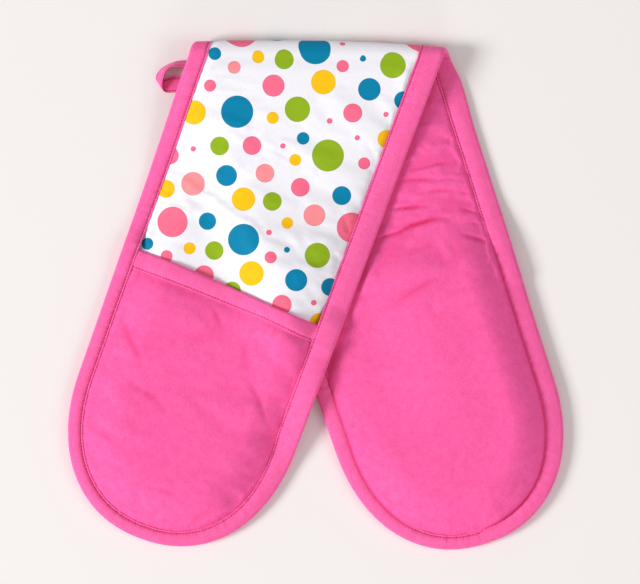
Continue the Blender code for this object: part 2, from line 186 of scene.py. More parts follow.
# Creases in the cloth, in arm millimetres: half width, depth, then s and v along the crease
CREASES = {
    "lower_back": (
        (1.7, 2.5, (118, -36), (120, -51), (121, -66)),
        (1.6, 2.0, (123, -20), (125, -33), (130, -48), (134, -63), (139, -73)),
        (1.6, 2.5, (137, -29), (138, -44), (140, -51), (144, -64)),
        (1.8, 3.4, (142, -10), (146, -26), (150, -43)),
        (1.9, 3.7, (161, 8), (162, -12), (160, -23), (161, -43), (164, -59)),
        (1.5, 2.7, (160, -64), (167, -77)),
        (1.7, 2.9, (180, -59), (192, -77)),
        (2.2, 1.4, (97, -47), (108, -55)),
        (1.3, 1.7, (131, -68), (134, -78)),
        (1.3, 1.7, (147, -67), (151, -78)),
        (1.3, 1.5, (172, -66), (177, -78)),
        (3.5, 1.4, (205, -30), (214, 12)),
    ),
    "upper_pocket": (
        (3.5, 1.7, (259, -74), (271, -62), (283, -48)),
        (3.0, 1.5, (303, -52), (308, -26), (316, -14)),
        (3.0, 1.4, (313, -72), (325, -57)),
        (2.2, 1.3, (224, -9), (238, 4)),
        (1.8, 1.3, (222, 44), (238, 48)),
        (2.8, 1.7, (272, 40), (283, 52), (297, 63)),
        (2.8, 1.3, (348, -68), (352, -44)),
        (3.0, 1.0, (376, -8), (374, 14)),
        (3.5, 1.0, (240, 22), (262, 34)),
    ),
    "upper_front": (
        (1.8, 1.3, (120, 62), (138, 76)), (1.8, 1.1, (150, 64), (160, 76)),
        (2.6, 0.9, (92, -12), (96, 18)), (2.2, 0.9, (60, 58), (72, 74)),
    ),
}

# How deep a crease is where its painted shade starts, and by how much deeper the painted shade is
# full
CREASE_SHADE_BRIM, CREASE_SHADE_SPAN = 0.0005, 0.0016
# The painted shade line where the swollen panel meets the tape, from the tape's inner edge
SEAM_SHADE_OFFSET, SEAM_SHADE_WIDTH, SEAM_SHADE_STRENGTH = 0.0020, 0.0011, 1.2

# Share of the simulated wrinkles that each panel keeps: (s, share)
WRINKLED = {
    "upper_front": ((0.0, 0.6), (0.4, 0.6)),
    "upper_pocket": ((0.2, 0.8), (0.4, 0.5)),
    "lower_back": ((0.0, 0.4), (0.09, 0.5), (0.13, 0.9), (0.19, 0.8), (0.24, 0.25), (0.4, 0.25)),
}

# Spots of the print, in arm millimetres: s, v, radius. The print repeats along the cloth.
REPEAT = 160.5
REPEAT_SHIFT = -2.3
SPOTS = {
    "blue": (
        (37, -75, 5.0), (1, 36, 2.5), (74, -43, 12.7), (22, 49, 8.9), (21, 77, 7.1), (76, 13, 5.0),
        (124, -34, 8.3), (108, 57, 7.5), (163, -36, 6.9), (167, -4, 12.4), (196, -75, 4.8),
        (163, 31, 2.4), (183, 46, 8.7), (179, 73, 7.1), (6, -2, 12.7), (2, -34, 7.0),
    ),
    "green": (
        (23, -22, 7.5), (-2, 60, 10.1), (56, 1, 10.0), (104, -47, 7.4), (82, 36, 12.6),
        (131, 7, 7.4), (183, -23, 7.3), (159, 55, 9.9), (208, 1, 7.1),
    ),
    "yellow": (
        (28, -42, 4.8), (29, 13, 9.7), (86, -75, 9.5), (69, -15, 4.8), (54, 75, 7.1), (94, 13, 4.7),
        (150, -76, 7.1), (137, -15, 9.3), (143, 24, 4.6), (188, -42, 4.8), (190, 11, 9.7),
        (208, 74, 7.1),
    ),
    "pink": (
        (62, -70, 4.8), (45, -23, 8.7), (-5, 18, 2.3), (12, 23, 4.9), (44, 43, 7.5), (36, 68, 2.2),
        (56, 28, 2.3), (61, 53, 2.2), (113, -66, 2.2), (95, -23, 7.4), (87, 0, 2.2),
        (124, -82, 7.1), (78, 65, 4.8), (113, 24, 7.4), (129, 73, 11.9), (173, -62, 12.1),
        (155, 13, 2.3), (200, -57, 4.8), (173, 21, 4.8), (204, -24, 7.7), (205, 42, 7.7),
        (195, 65, 2.3), (14, -60, 11.9),
    ),
    "salmon": ((42, -57, 5.1), (112, -6, 7.4), (139, -57, 9.4), (130, 42, 8.6)),
}
LAST_OF_FIRST_REPEAT = 152.0
FIRST_MEASURED, LAST_MEASURED = -6.0, 213.0
# The lower arm's cloth runs on from the bend, measured the other way
LOWER_SHIFT = (2 * FIRST_LINE - math.pi * BEND_OUTER) / COS
REPEATS = (-4, -3, -2, -1, 1, 2)

# Cloth simulation: its grid step, its first small bumps, and how often its dome is blurred out
STUFFING_STEP, STUFFING_BUMPS, DOME_BLURS = 0.0045, 0.0012, 16
# How far past the tape the simulated wrinkles and all the creases grow to their full depth
WRINKLE_FADE, TAPE_FADE = 0.004, 0.003
# How the creases fade past the bend, and before the mouth or the overlap's edge
BEND_FADE, PANEL_FADE, OVERLAP_SLACK = 0.015, 0.008, 0.001


def linear(code):
    """Linear colour, with alpha, of an sRGB hex code."""
    values = [int(code[i : i + 2], 16) / 255 for i in (1, 3, 5)]
    return [c / 12.92 if c <= 0.04045 else ((c + 0.055) / 1.055) ** 2.4 for c in values] + [1.0]


def smooth(value):
    """Smooth step: three squares less two cubes, from 0 to 1 as value goes from 0 to 1."""
    value = np.clip(value, 0.0, 1.0)
    return value * value * (3.0 - 2.0 * value)


def read_off(table, place):
    """Value at a place, straight between a table's pairs of place and value."""
    return np.interp(place, *zip(*table))


def rise(distance, reach):
    """Exponential rise, from 0 where the distance is nil to nearly 1 at three reaches."""
    return 1.0 - np.exp(-np.clip(distance, 0.0, None) / reach)


# Plan of an arm


def half_width(s):
    """Half the strip's width, tapering evenly from the fold to where the toe starts."""
    share = np.clip(s / ARM_STRAIGHT, -0.2, 1.0)
    return HALF_WIDTH_MIDDLE + (HALF_WIDTH_TOE - HALF_WIDTH_MIDDLE) * share


def plan(s, v, side):
    """World x and y: the arm's plan point turned by the arm's angle, mirrored for the lower arm."""
    x = -side * (-s * SIN + v * COS)
    y = FOLD_Y - s * COS - v * SIN
    return x, y


def first_line(v):
    """Distance s where the line parallel to the fold, at the end of the bend, crosses v."""
    return (FIRST_LINE - v * SIN) / COS


def edge_start(side):
    """Distance s where an edge of the arm meets the bend."""
    s = 0.0
    for _ in range(5):
        s = first_line(side * half_width(s))
    return s


def toe_edge(angle, inset=0.0):
    """Superellipse of the toe: s from the sine and v from the cosine, each to the same power."""
    power = 2.0 / TOE_FULLNESS
    s = ARM_STRAIGHT + (TOE_LENGTH - inset) * np.sin(angle) ** power
    v = (HALF_WIDTH_TOE - inset) * np.clip(np.cos(angle), 0.0, None) ** power
    return s, v


def toe_inward(s, v):
    """Unit direction into the glove: down the slope of the superellipse's own equation."""
    power = TOE_FULLNESS - 1.0
    slope_s = (np.clip(s - ARM_STRAIGHT, 0.0, None) / TOE_LENGTH) ** power / TOE_LENGTH
    slope_v = (np.abs(v) / HALF_WIDTH_TOE) ** power / HALF_WIDTH_TOE * np.sign(v)
    size = np.hypot(slope_s, slope_v)
    return -slope_s / size, -slope_v / size


def outline_distance(s, v):
    """Distance from plan points to the outline's nearest straight piece, and how far round."""
    angle = np.linspace(0.0, math.pi / 2, 60)
    toe_s, toe_v = toe_edge(angle)
    right = np.concatenate([[[-0.10, half_width(-0.10)]], np.column_stack([toe_s, toe_v])])
    line = np.concatenate([right, right[-2::-1] * (1.0, -1.0)])
    start, step = line[:-1], np.diff(line, axis=0)
    size = np.hypot(*step.T)
    before = np.cumsum(size) - size
    points = np.stack([np.ravel(s), np.ravel(v)], axis=1)
    nearest, around = [], []
    for some in np.array_split(points, max(1, len(points) // 4000)):
        away = some[:, None] - start[None]
        share = np.clip((away * step).sum(2) / size**2, 0.0, 1.0)
        distance = np.hypot(*np.moveaxis(away - share[..., None] * step, 2, 0))
        best = distance.argmin(axis=1)
        row = np.arange(len(some))
        nearest.append(distance[row, best])
        around.append(before[best] + share[row, best] * size[best])
    shape = np.shape(s)
    return np.concatenate(nearest).reshape(shape), np.concatenate(around).reshape(shape)


def leg(arm, s, v):
    """Width of the binding's leg: each edge's own, faded across the middle of the arm."""
    left, right = (read_off(LEGS[(arm, edge)], s) for edge in (-1, 1))
    return left + (right - left) * smooth(v / LEG_FADE + 0.5)


def stands_out(arm, s, edge):
    """How far an edge of the arm stands out past its even taper."""
    return read_off(RIGHT_EDGE, s) * (arm == "lower") * (edge < 0)


def mouth(arm, v):
    """Distance s of the pocket's mouth at v."""
    return read_off(MOUTH_LINE[arm], v)


def hem_width(arm, v):
    """Width of the binding's leg that shows along the pocket's mouth."""
    return read_off(HEM_WIDTH, v) if arm == "upper" else np.full_like(v, BINDING_WIDTH)


def even_columns(step):
    """Evenly spaced columns, as shares of half the width."""
    return np.linspace(-1.0, 1.0, round(2 * HALF_WIDTH_MIDDLE / step))


def seam_columns(step):
    """Columns that crowd together beside the binding's inner edge and are scarce under it."""
    reach = HALF_WIDTH_MIDDLE - PANEL_INSET
    crowd = np.arange(SEAM_FROM, SEAM_UNTIL, 0.6 * step)
    rest = np.linspace(SEAM_UNTIL, reach, round((reach - SEAM_UNTIL) / (1.15 * step)))
    from_rim = np.concatenate([[0.0, 0.4 * SEAM_FROM, 0.75 * SEAM_FROM], crowd, rest])
    side = 1.0 - from_rim / reach
    return np.concatenate([-side, side[-2::-1]])


class Grid:
    """Plan points of a sheet: rows from the fold or the mouth to the toe, columns across.

    Rows start parallel to the fold and turn square by SQUARE_FROM, then follow the toe's
    superellipse, each from the left edge to the right one. columns run from -1 to 1.
    """

    def __init__(self, arm, step, columns, from_mouth=False):
        self.arm = arm
        across = columns
        rows = []
        if from_mouth:
            count = max(4, round((ARM_STRAIGHT - MOUTH) / step))
            start = mouth(arm, across * (half_width(MOUTH) - PANEL_INSET))
            square = start + (ARM_STRAIGHT - start) * np.linspace(0.0, 1.0, count)[:, None]
        else:
            count = round((SQUARE_FROM - edge_start(1)) / step)
            share = np.linspace(0.0, 1.0, count, endpoint=False)[:, None]
            left = edge_start(-1) + (SQUARE_FROM - edge_start(-1)) * share
            right = edge_start(1) + (SQUARE_FROM - edge_start(1)) * share
            low = -(half_width(left) - PANEL_INSET)
            high = half_width(right) - PANEL_INSET
            v = low + (high - low) * (across + 1.0) / 2.0
            width = half_width(left) + half_width(right)
            s = left + (right - left) * (v + half_width(left)) / width
            rows.append((s, v))
            count = max(3, round((ARM_STRAIGHT - SQUARE_FROM) / step))
            square = np.linspace(SQUARE_FROM, ARM_STRAIGHT, count)[:, None] + 0.0 * across
        rows.append((square, across * (half_width(square) - PANEL_INSET)))
        angle = np.linspace(0.0, TOE_CLOSED, round(1.35 * TOE_LENGTH / step) + 1)[1:, None]
        toe_s, toe_v = toe_edge(angle, PANEL_INSET)
        rows.append((toe_s + 0.0 * across, across * toe_v))
        self.s = np.concatenate([s for s, _ in rows])
        self.v = np.concatenate([v for _, v in rows])
        self.inset, self.around = outline_distance(self.s, self.v)
        self.past_tape = np.clip(self.inset - leg(arm, self.s, self.v), 0.0, None)


# Heights of an arm's layers


def crown(arm, s, v, inset):
    """Fullness of the wadding: 0 at the binding, rising to 1 by an exponential."""
    return rise(inset - leg(arm, s, v), CROWN_REACH)


def relief(inset):
    """Height kept free under or over a face for the binding's flat leg."""
    return BINDING_ROOM * (1.0 - smooth((inset - BINDING_WIDTH) / FLOOR_RELIEF))


def hem_share(arm, s, v):
    """1 where the mouth's binding lies and before it, 0 past it."""
    return 1.0 - smooth((s - mouth(arm, v) - BINDING_WIDTH) / HEM_FADE)


def hand_room(hem, inset, pressed):
    """Height of the empty pocket, which stays open for the hem and is nearly shut at its sides."""
    least = GAP + BINDING_ROOM * hem
    risen = smooth((inset - BINDING_WIDTH) / HAND_ROOM_REACH)
    return np.maximum(least, GAP + (HAND_ROOM - GAP) * risen * pressed)


def support(x, y):
    """Height of what the upper arm lies on: the lower arm, falling to the table beside it."""
    down = FOLD_Y - y
    over = x * COS - down * SIN + half_width(OVERLAP_MIDDLE)
    risen = smooth((down - REST_RISE_FROM) / REST_RISE_LENGTH)
    thick = REST_THIN + (REST_THICK - REST_THIN) * risen
    return thick * smooth((over + DRAPE_REACH) / (DRAPE_REACH + DRAPE_SEAT))


def body(fullness):
    """Thickness of two cloths and the wadding between them."""
    return 2 * CLOTH + 2 * GAP + WADDING_EDGE + (WADDING_MIDDLE - WADDING_EDGE) * fullness


def pocket(fullness):
    """Thickness of the pocket's front, wadding and lining."""
    spread = POCKET_WADDING_MIDDLE - POCKET_WADDING_EDGE
    return 2 * CLOTH + 2 * GAP + POCKET_WADDING_EDGE + spread * fullness


def upper_levels(s, v, inset):
    """Heights of the upper arm: body low and high, pocket low and high.

    The body springs level from the bend, then settles on what lies under it. The pocket lies on
    the body, a hand's room above it.
    """
    x, y = plan(s, v, -1)
    fullness = crown("upper", s, v, inset)
    sprung = 2 * BEND_OUTER - relief(inset) - body(fullness)
    settled = support(x, y) + relief(inset)
    share = smooth((FOLD_Y - y - FIRST_LINE) / FOLD_SPRING)
    low = sprung + (settled - sprung) * share
    high = low + body(fullness)
    hem = hem_share("upper", s, v)
    pocket_low = high + hand_room(hem, inset, 1.0)
    return low, high, pocket_low, pocket_low + pocket(fullness * (1.0 - HEM_PRESS * hem))


def lower_levels(s, v, inset):
    """Heights of the lower arm, in the same order. Its pocket lies under its body."""
    covered = 1.0 - smooth((s - PRESSED_UNTIL) / PRESSED_FADE)
    from_inner = half_width(s) - v
    pressed = 1.0 - covered * (1.0 - smooth((from_inner - PRESSED_FROM) / PRESSED_FADE))
    fullness = crown("lower", s, v, inset)
    hem = hem_share("lower", s, v)
    pocket_low = relief(inset) + BINDING_ROOM * hem
    pocket_high = pocket_low + pocket(fullness)
    raised = pocket_high + hand_room(hem, inset, pressed) - relief(inset)
    droop = smooth((s - MOUTH + DROOP_LENGTH) / DROOP_LENGTH)
    low = relief(inset) + raised * droop
    return low, low + body(fullness), pocket_low, pocket_high


LEVELS = {"upper": (upper_levels, -1), "lower": (lower_levels, 1)}


def mouth_lift(s, v, inset):
    """How far the printed panel swells up to the pocket's mouth, in the room left for the hand."""
    before = s - mouth("upper", v)
    falling = 1.0 - smooth((before - MOUTH_LIFT_PAST) / MOUTH_LIFT_FADE)
    bell = smooth(before / MOUTH_LIFT_FROM + 1.0) * falling
    return MOUTH_LIFT * bell * smooth((inset - BINDING_WIDTH) / HAND_ROOM_REACH)


def bend_faces(s, v, inset, turn):
    """Inner and outer points of the bend: circles about its axis, sheared along the fold.

    s and v lie on the first line of the upper arm. turn goes from 0 at the lower arm to 1. The
    fold's bulge is added with the sine of the angle, so it is nil where the arms start.
    """
    x_upper, _ = plan(s, v, -1)
    v_lower = -v * half_width(first_line(-v)) / half_width(s)
    x_lower, _ = plan(first_line(v_lower), v_lower, 1)
    last = crown("lower", first_line(v_lower), v_lower, inset)
    outer = BEND_OUTER - relief(inset)
    inner = outer - body(last + (crown("upper", s, v, inset) - last) * turn)
    x = x_lower + (x_upper - x_lower) * turn
    angle = turn * math.pi
    bulge = read_off(FOLD_LINE, x)
    faces = []
    for radius in (inner, outer):
        y = FOLD_Y - BEND_OUTER + (radius + bulge) * np.sin(angle)
        z = BEND_OUTER - radius * np.cos(angle)
        faces.append(np.stack(np.broadcast_arrays(x, y, z), axis=-1))
    return faces


def crease(name, s, v, spread=1.0):
    """Sum of the named creases: a sharp valley along each line, with a low swell on each side.

    Across the line it is an exponential cusp less a bell three times as wide, both widened by
    spread. It fades to a third at the line's ends.
    """
    depth = np.zeros(np.shape(s))
    for half, deep, *line in CREASES.get(name, ()):
        line = np.array(line) / 1000
        steps = np.diff(line, axis=0)
        sizes = np.hypot(*steps.T)
        before = np.cumsum(sizes) - sizes
        away = np.full(np.shape(s), 1.0)
        place = np.zeros(np.shape(s))
        for start, step, size, done in zip(line, steps, sizes, before):
            share = ((s - start[0]) * step[0] + (v - start[1]) * step[1]) / size**2
            near = np.clip(share, 0.0, 1.0)
            here = np.hypot(s - start[0] - near * step[0], v - start[1] - near * step[1])
            closer = here < away
            away = np.where(closer, here, away)
            place = np.where(closer, (done + near * size) / sizes.sum(), place)
        ends = 0.3 + 0.7 * np.sin(np.pi * place)
        away = away * 1000 / half / spread
        valley = np.exp(-away) - 0.3 * np.exp(-((away / 3.0) ** 2))
        depth -= deep / 1000 * ends * valley
    return depth


def gathers(around, away, seed):
    """Small gathers beside a stitch line: sines of unlike lengths along it, dying away from it."""
    rng = np.random.default_rng(seed)
    total = np.zeros(np.shape(around))
    for length in GATHER_LENGTHS:
        swing = 0.6 + 0.4 * np.sin(around / rng.uniform(0.013, 0.022) + rng.uniform(0, 6.28))
        total = total + swing * np.sin(2 * math.pi * around / length + rng.uniform(0, 6.28))
    return GATHER_HEIGHT * total * np.exp(-away / GATHER_REACH) * smooth(away / 0.0012)


def over_tape(grid):
    """1 where the lower arm's panel swells over the tape, on its right and part of its left."""
    right = smooth(0.5 - grid.v / OVERHANG_TURN)
    until = 1.0 - smooth((grid.s - OVERHANG_LEFT_UNTIL) / OVERHANG_FADE)
    share = smooth((grid.s - OVERHANG_FROM) / OVERHANG_GROWTH)
    return share * (right + (1.0 - right) * until), right


def shoulder(grid, back=0.0):
    """Extra height of the cloth past the tape's edge, moved back: a steep exponential rise.

    On the lower arm the rise starts over the tape, a little outside its inner edge, and a second
    rise fades towards the middle, which leaves the top flatter and the side steeper.
    """
    height = SHOULDER * rise(grid.past_tape - back, SHOULDER_REACH)
    if grid.arm == "lower":
        over, right = over_tape(grid)
        past = grid.inset - leg("lower", grid.s, grid.v) + OVERHANG_REACH - back
        past = np.clip(past, 0.0, None)
        fuller = (FULL_LEFT + (FULL_RIGHT - FULL_LEFT) * right) * (1.0 - smooth(past / FULL_FADE))
        swell = OVERHANG * rise(past, OVERHANG_RISE) + fuller * rise(past, FULL_RISE)
        height = height + (swell - height) * over
    return height


# Meshes


def make_piece(name, points, faces, flat, material, body_name, *nodes):
    """Mesh object with a UV map named Cloth, which holds each point's place on the flat cloth.

    Faces that together enclose a negative volume are turned round. The piece stands for the CAD
    nodes and rides on the body. With no body, as for a piece that crosses the middle fold, it
    stays where it is made.
    """
    a, b, c, d = (points[faces[:, i]] for i in range(4))
    if (a * np.cross(b, c)).sum() + (a * np.cross(c, d)).sum() < 0:
        faces = faces[:, ::-1]
    mesh = bpy.data.meshes.new(name)
    mesh.from_pydata(points.tolist(), [], faces.tolist())
    layer = mesh.uv_layers.new(name="Cloth")
    corner = np.empty(len(mesh.loops), np.int32)
    mesh.loops.foreach_get("vertex_index", corner)
    layer.data.foreach_set("uv", flat[corner].astype(np.float32).ravel())
    mesh.materials.append(bpy.data.materials[material])
    mesh.shade_smooth()
    mesh.set_sharp_from_angle(angle=math.radians(60))
    mesh.update()
    item = bpy.data.objects.new(name, mesh)
    bpy.context.scene.collection.objects.link(item)
    if nodes:
        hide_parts(*nodes)
    if body_name:
        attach(item, body_name)
    else:
        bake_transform(item)
    return item


def flat_places(along, across):
    """Places on the flat cloth, one a row, from the measures along and across it."""
    return np.stack(np.broadcast_arrays(along, across), axis=-1).reshape(-1, 2)


def unit(vectors):
    """The vectors, each a metre long."""
    return vectors / np.linalg.norm(vectors, axis=-1, keepdims=True)


def quads(rows, columns, closed=False):
    """Faces of a grid, row by row. A closed one joins its last column to its first."""
    across = columns if closed else columns - 1
    row, column = np.meshgrid(np.arange(rows - 1), np.arange(across), indexing="ij")
    after = (column + 1) % columns
    corners = (
        row * columns + column,
        row * columns + after,
        (row + 1) * columns + after,
        (row + 1) * columns + column,
    )
    return np.stack([c.ravel() for c in corners], axis=1)


def sheet_mesh(under, over):
    """Points and faces of a closed sheet between two grids of the same rows and columns."""
    rows, columns = under.shape[:2]
    count = rows * columns
    top = quads(rows, columns)
    rim = np.concatenate(
        [
            np.arange(columns),
            np.arange(1, rows) * columns + columns - 1,
            (rows - 1) * columns + np.arange(columns - 2, -1, -1),
            np.arange(rows - 2, 0, -1) * columns,
        ]
    )
    after = np.roll(rim, -1)
    wall = np.stack([rim, rim + count, after + count, after], axis=1)
    faces = np.concatenate([top[:, ::-1], top + count, wall[:, ::-1]])
    points = np.concatenate([under.reshape(-1, 3), over.reshape(-1, 3)])
    return points, faces


def swept_mesh(sections):
    """Points and faces of a closed solid: a profile carried along a path, capped at both ends."""
    rows, columns = sections.shape[:2]
    sides = quads(rows, columns, closed=True)
    half = columns // 2
    near = np.arange(half - 1)
    cap = np.stack([near, near + 1, columns - 2 - near, columns - 1 - near], axis=1)
    last = (rows - 1) * columns
    faces = np.concatenate([sides, cap, cap[:, ::-1] + last])
    return sections.reshape(-1, 3), faces


# Simulated wrinkles of the panels, by name

RELIEFS = {}


def between(table, rows, columns):
    """A small table stretched to more rows and columns by Catmull-Rom curves each way."""

    def weights(fine, coarse):
        place = np.linspace(0.0, coarse - 1.0, fine)
        low = np.clip(np.floor(place).astype(int), 0, coarse - 2)
        t = (place - low)[:, None]
        curve = np.concatenate(
            [
                -0.5 * t + t**2 - 0.5 * t**3,
                1.0 - 2.5 * t**2 + 1.5 * t**3,
                0.5 * t + 2.0 * t**2 - 1.5 * t**3,
                -0.5 * t**2 + 0.5 * t**3,
            ],
            axis=1,
        )
        matrix = np.zeros((fine, coarse))
        for k in range(4):
            np.add.at(matrix, (np.arange(fine), np.clip(low + k - 1, 0, coarse - 1)), curve[:, k])
        return matrix

    return weights(rows, table.shape[0]) @ table @ weights(columns, table.shape[1]).T


def blurred(table, times):
    """The table after repeated three-point averages each way, its rims kept."""
    for _ in range(times):
        inner = table.copy()
        inner[1:-1] = (table[:-2] + 2 * table[1:-1] + table[2:]) / 4
        table = inner.copy()
        table[:, 1:-1] = (inner[:, :-2] + 2 * inner[:, 1:-1] + inner[:, 2:]) / 4
    return table


def stuffed_relief(name, grid, sizes, seed):
    """Puckers of a stuffed panel, by cloth simulation.

    A flat panel, cut a little larger than its seam, is sewn down round its rim and blown up. The
    heights left after its smooth dome is taken away are its wrinkles.
    """
    rows, columns = grid.s.shape
    rng = np.random.default_rng(seed)
    lift = blurred(rng.normal(0.0, STUFFING_BUMPS, grid.s.shape), 2)
    fixed = grid.past_tape <= 0.0
    lift[fixed] = 0.0
    start = np.stack([grid.s, grid.v, lift], axis=-1).reshape(-1, 3)
    mesh = bpy.data.meshes.new(name)
    mesh.from_pydata(start.tolist(), [], quads(rows, columns).tolist())
    item = bpy.data.objects.new(name, mesh)
    scene = bpy.context.scene
    scene.collection.objects.link(item)
    pins = item.vertex_groups.new(name="seam")
    pins.add(np.flatnonzero(fixed.ravel()).tolist(), 1.0, "REPLACE")
    cloth = item.modifiers.new("Cloth", "CLOTH")
    for key, value in {
        "quality": 6, "mass": 0.2, "tension_stiffness": 20.0, "compression_stiffness": 20.0,
        "shear_stiffness": 8.0, "bending_stiffness": 0.3, "shrink_min": -sizes.cloth_ease,
        "use_pressure": True, "uniform_pressure_force": sizes.stuffing_pressure,
        "vertex_group_mass": "seam",
    }.items():
        setattr(cloth.settings, key, value)
    cloth.settings.effector_weights.gravity = 0.0
    cloth.point_cache.frame_start, cloth.point_cache.frame_end = 1, sizes.stuffing_frames
    for number in range(1, sizes.stuffing_frames + 1):
        scene.frame_set(number)
    held = item.evaluated_get(bpy.context.evaluated_depsgraph_get()).to_mesh()
    found = np.empty(len(held.vertices) * 3, np.float32)
    held.vertices.foreach_get("co", found)
    height = found.reshape(-1, 3)[:, 2].reshape(rows, columns).astype(float)
    bpy.data.objects.remove(item)
    scene.frame_set(1)
    ripple = np.clip(height - blurred(height, DOME_BLURS), -sizes.pucker_cap, sizes.pucker_cap)
    return ripple * smooth(grid.past_tape / WRINKLE_FADE)


def wrinkles(name, grid):
    """The simulated wrinkles of a panel, each part of it with its own share of them."""
    if name not in RELIEFS:
        return np.zeros(grid.s.shape)
    return between(RELIEFS[name], *grid.s.shape) * read_off(WRINKLED[name], grid.s)


def store_painted_shade(item, name, grid):
    """Store the painted shade of each point: how far down a wrinkle or crease it lies, from 0 at
    its brim to 1, and on the lower arm a dark line along the seam.
    """
    deep = -crease(name, grid.s, grid.v) - wrinkles(name, grid)
    deep = np.clip((deep - CREASE_SHADE_BRIM) / CREASE_SHADE_SPAN, 0.0, 1.0) * smooth(grid.past_tape / 0.002)
    if grid.arm == "lower":
        # painted shade: a dark line along the seam where the swollen panel meets the tape
        from_seam_shade = grid.inset - leg("lower", grid.s, grid.v) + SEAM_SHADE_OFFSET
        line = np.exp(-((from_seam_shade / SEAM_SHADE_WIDTH) ** 2))
        deep += SEAM_SHADE_STRENGTH * over_tape(grid)[0] * line
    mark = item.data.attributes.new("crease_depth", "FLOAT", "POINT").data
    mark.foreach_set("value", np.tile(deep.ravel(), 2))


def panel_relief(name, grid, sizes, inside):
    """Height of a panel over the plain form: its shoulder, wrinkles, creases and gathers.

    inside asks for the wadding's height, which stays below every wrinkle of the cloth over it.
    """
    if inside:
        height = WADDING_DEEPER * crease(name, grid.s, grid.v, WADDING_WIDER) - sizes.pucker_cap
        clear = smooth((grid.past_tape + TAPE_FADE) / (2 * TAPE_FADE))
        return height * clear + shoulder(grid, WADDING_BACK)
    height = wrinkles(name, grid) + crease(name, grid.s, grid.v)
    height *= smooth(grid.past_tape / TAPE_FADE)
    return height + gathers(grid.around, grid.past_tape, len(name)) + shoulder(grid)


def arm_points(arm, s, v, z):
    """World points of an arm's plan points at these heights."""
    x, y = plan(s, v, LEVELS[arm][1])
    return np.stack([x, y, z], axis=-1)


def bend_rows(grid, layer, count=28):
    """A layer's two faces in the bend, over a grid's first row, and each point's flat place."""
    s, v = grid.s[0], grid.v[0]
    turn = np.linspace(0.0, 1.0, count)[:, None]
    inner, outer = bend_faces(s, v, np.clip(grid.inset[0], BINDING_WIDTH, None), turn)
    out = unit(outer - inner)
    under, over = {
        "front_panel": (outer - out * CLOTH, outer),
        "wadding": (inner + out * (CLOTH + GAP), outer - out * (CLOTH + GAP)),
        "back_panel": (inner, inner + out * CLOTH),
    }[layer]
    back = (1.0 - turn) * math.pi * BEND_OUTER / COS
    return under, over, np.stack([s - back, v + 0.0 * back], axis=-1)


def spot_fields(flat):
    """How far each flat point lies inside the nearest spot's rim, and that spot's colour."""
    rows = [(s, v, r, name) for name, spots in SPOTS.items() for s, v, r in spots]
    every = list(rows)
    for s, v, r, name in rows:
        if s > LAST_OF_FIRST_REPEAT:
            continue
        for times in REPEATS:
            at = s + REPEAT * times
            if not FIRST_MEASURED < at < LAST_MEASURED:
                every.append((at, v + REPEAT_SHIFT * times, r, name))
    centres = np.array([row[:3] for row in every]) / 1000
    names = [row[3] for row in every]
    colours = bpy.context.scene.glove_colours
    shades = np.array([list(getattr(colours, name)) + [1.0] for name in names])
    reach, shade = [], []
    for some in np.array_split(flat.reshape(-1, 2), 12):
        away = np.hypot(some[:, :1] - centres[:, 0], some[:, 1:] - centres[:, 1])
        inside = centres[:, 2] - away
        best = inside.argmax(axis=1)
        reach.append(inside[np.arange(len(some)), best])
        shade.append(shades[best])
    return np.concatenate(reach), np.concatenate(shade)


def print_spots(item, flat):
    """Store the spots on the mesh: distance inside a rim, and colour."""
    reach, shade = spot_fields(flat)
    new = item.data.attributes.new
    new("spot_reach", "FLOAT", "POINT").data.foreach_set("value", reach)
    new("spot_colour", "FLOAT_COLOR", "POINT").data.foreach_set("color", shade.ravel())


# Materials


def add_node(tree, kind, inputs=None, **settings):
    """Add a shader node, set its properties, and give its inputs values or links."""
    made = tree.nodes.new(f"ShaderNode{kind}")
    for key, value in settings.items():
        setattr(made, key, value)
    for key, value in (inputs or {}).items():
        if isinstance(value, bpy.types.NodeSocket):
            tree.links.new(value, made.inputs[key])
        else:
            made.inputs[key].default_value = value
    return made


def new_material(name):
    """Empty node tree of a new material."""
    material = bpy.data.materials.new(name)
    material.use_nodes = True
    material.node_tree.nodes.clear()
    return material.node_tree


def end_material(tree, inputs, bump=None):
    """End a material: a bump with its own inputs, the shader with these, and the output."""
    if bump:
        inputs["Normal"] = add_node(tree, "Bump", bump).outputs[0]
    shader = add_node(tree, "BsdfPrincipled", inputs)
    add_node(tree, "OutputMaterial", {"Surface": shader.outputs[0]})


def tinted(shade, red=1.0, green=1.0, blue=1.0):
    """Linear colour, with alpha: each channel of the shade times its share, up to 1."""
    return [min(1.0, c * share) for c, share in zip(shade, (red, green, blue))] + [1.0]


def thread_grain(tree, place, warp, weft):
    """Uneven threads of a plain weave: two noises drawn out along the warp and the weft."""
    grains = []
    for scale in ((warp, weft, 1.0), (weft, warp, 1.0)):
        mapped = add_node(tree, "Mapping", {"Vector": place, "Scale": scale}).outputs[0]
        noise = add_node(tree, "TexNoise", {"Vector": mapped, "Scale": 1.0, "Detail": 2.0})
        grains.append(noise.outputs["Fac"])
    return add_node(tree, "Math", {0: grains[0], 1: grains[1]}, operation="ADD").outputs[0]


def colour(name, description, code):
    """A colour that a user may change, from its sRGB hex code."""
    return FloatVectorProperty(
        name=name, description=description, default=linear(code)[:3], subtype="COLOR",
        min=0.0, max=1.0,
    )


def length(name, description, default, most):
    """A length in metres that a user may change."""
    return FloatProperty(
        name=name, description=description, default=default, min=0.0001, max=most, unit="LENGTH"
    )


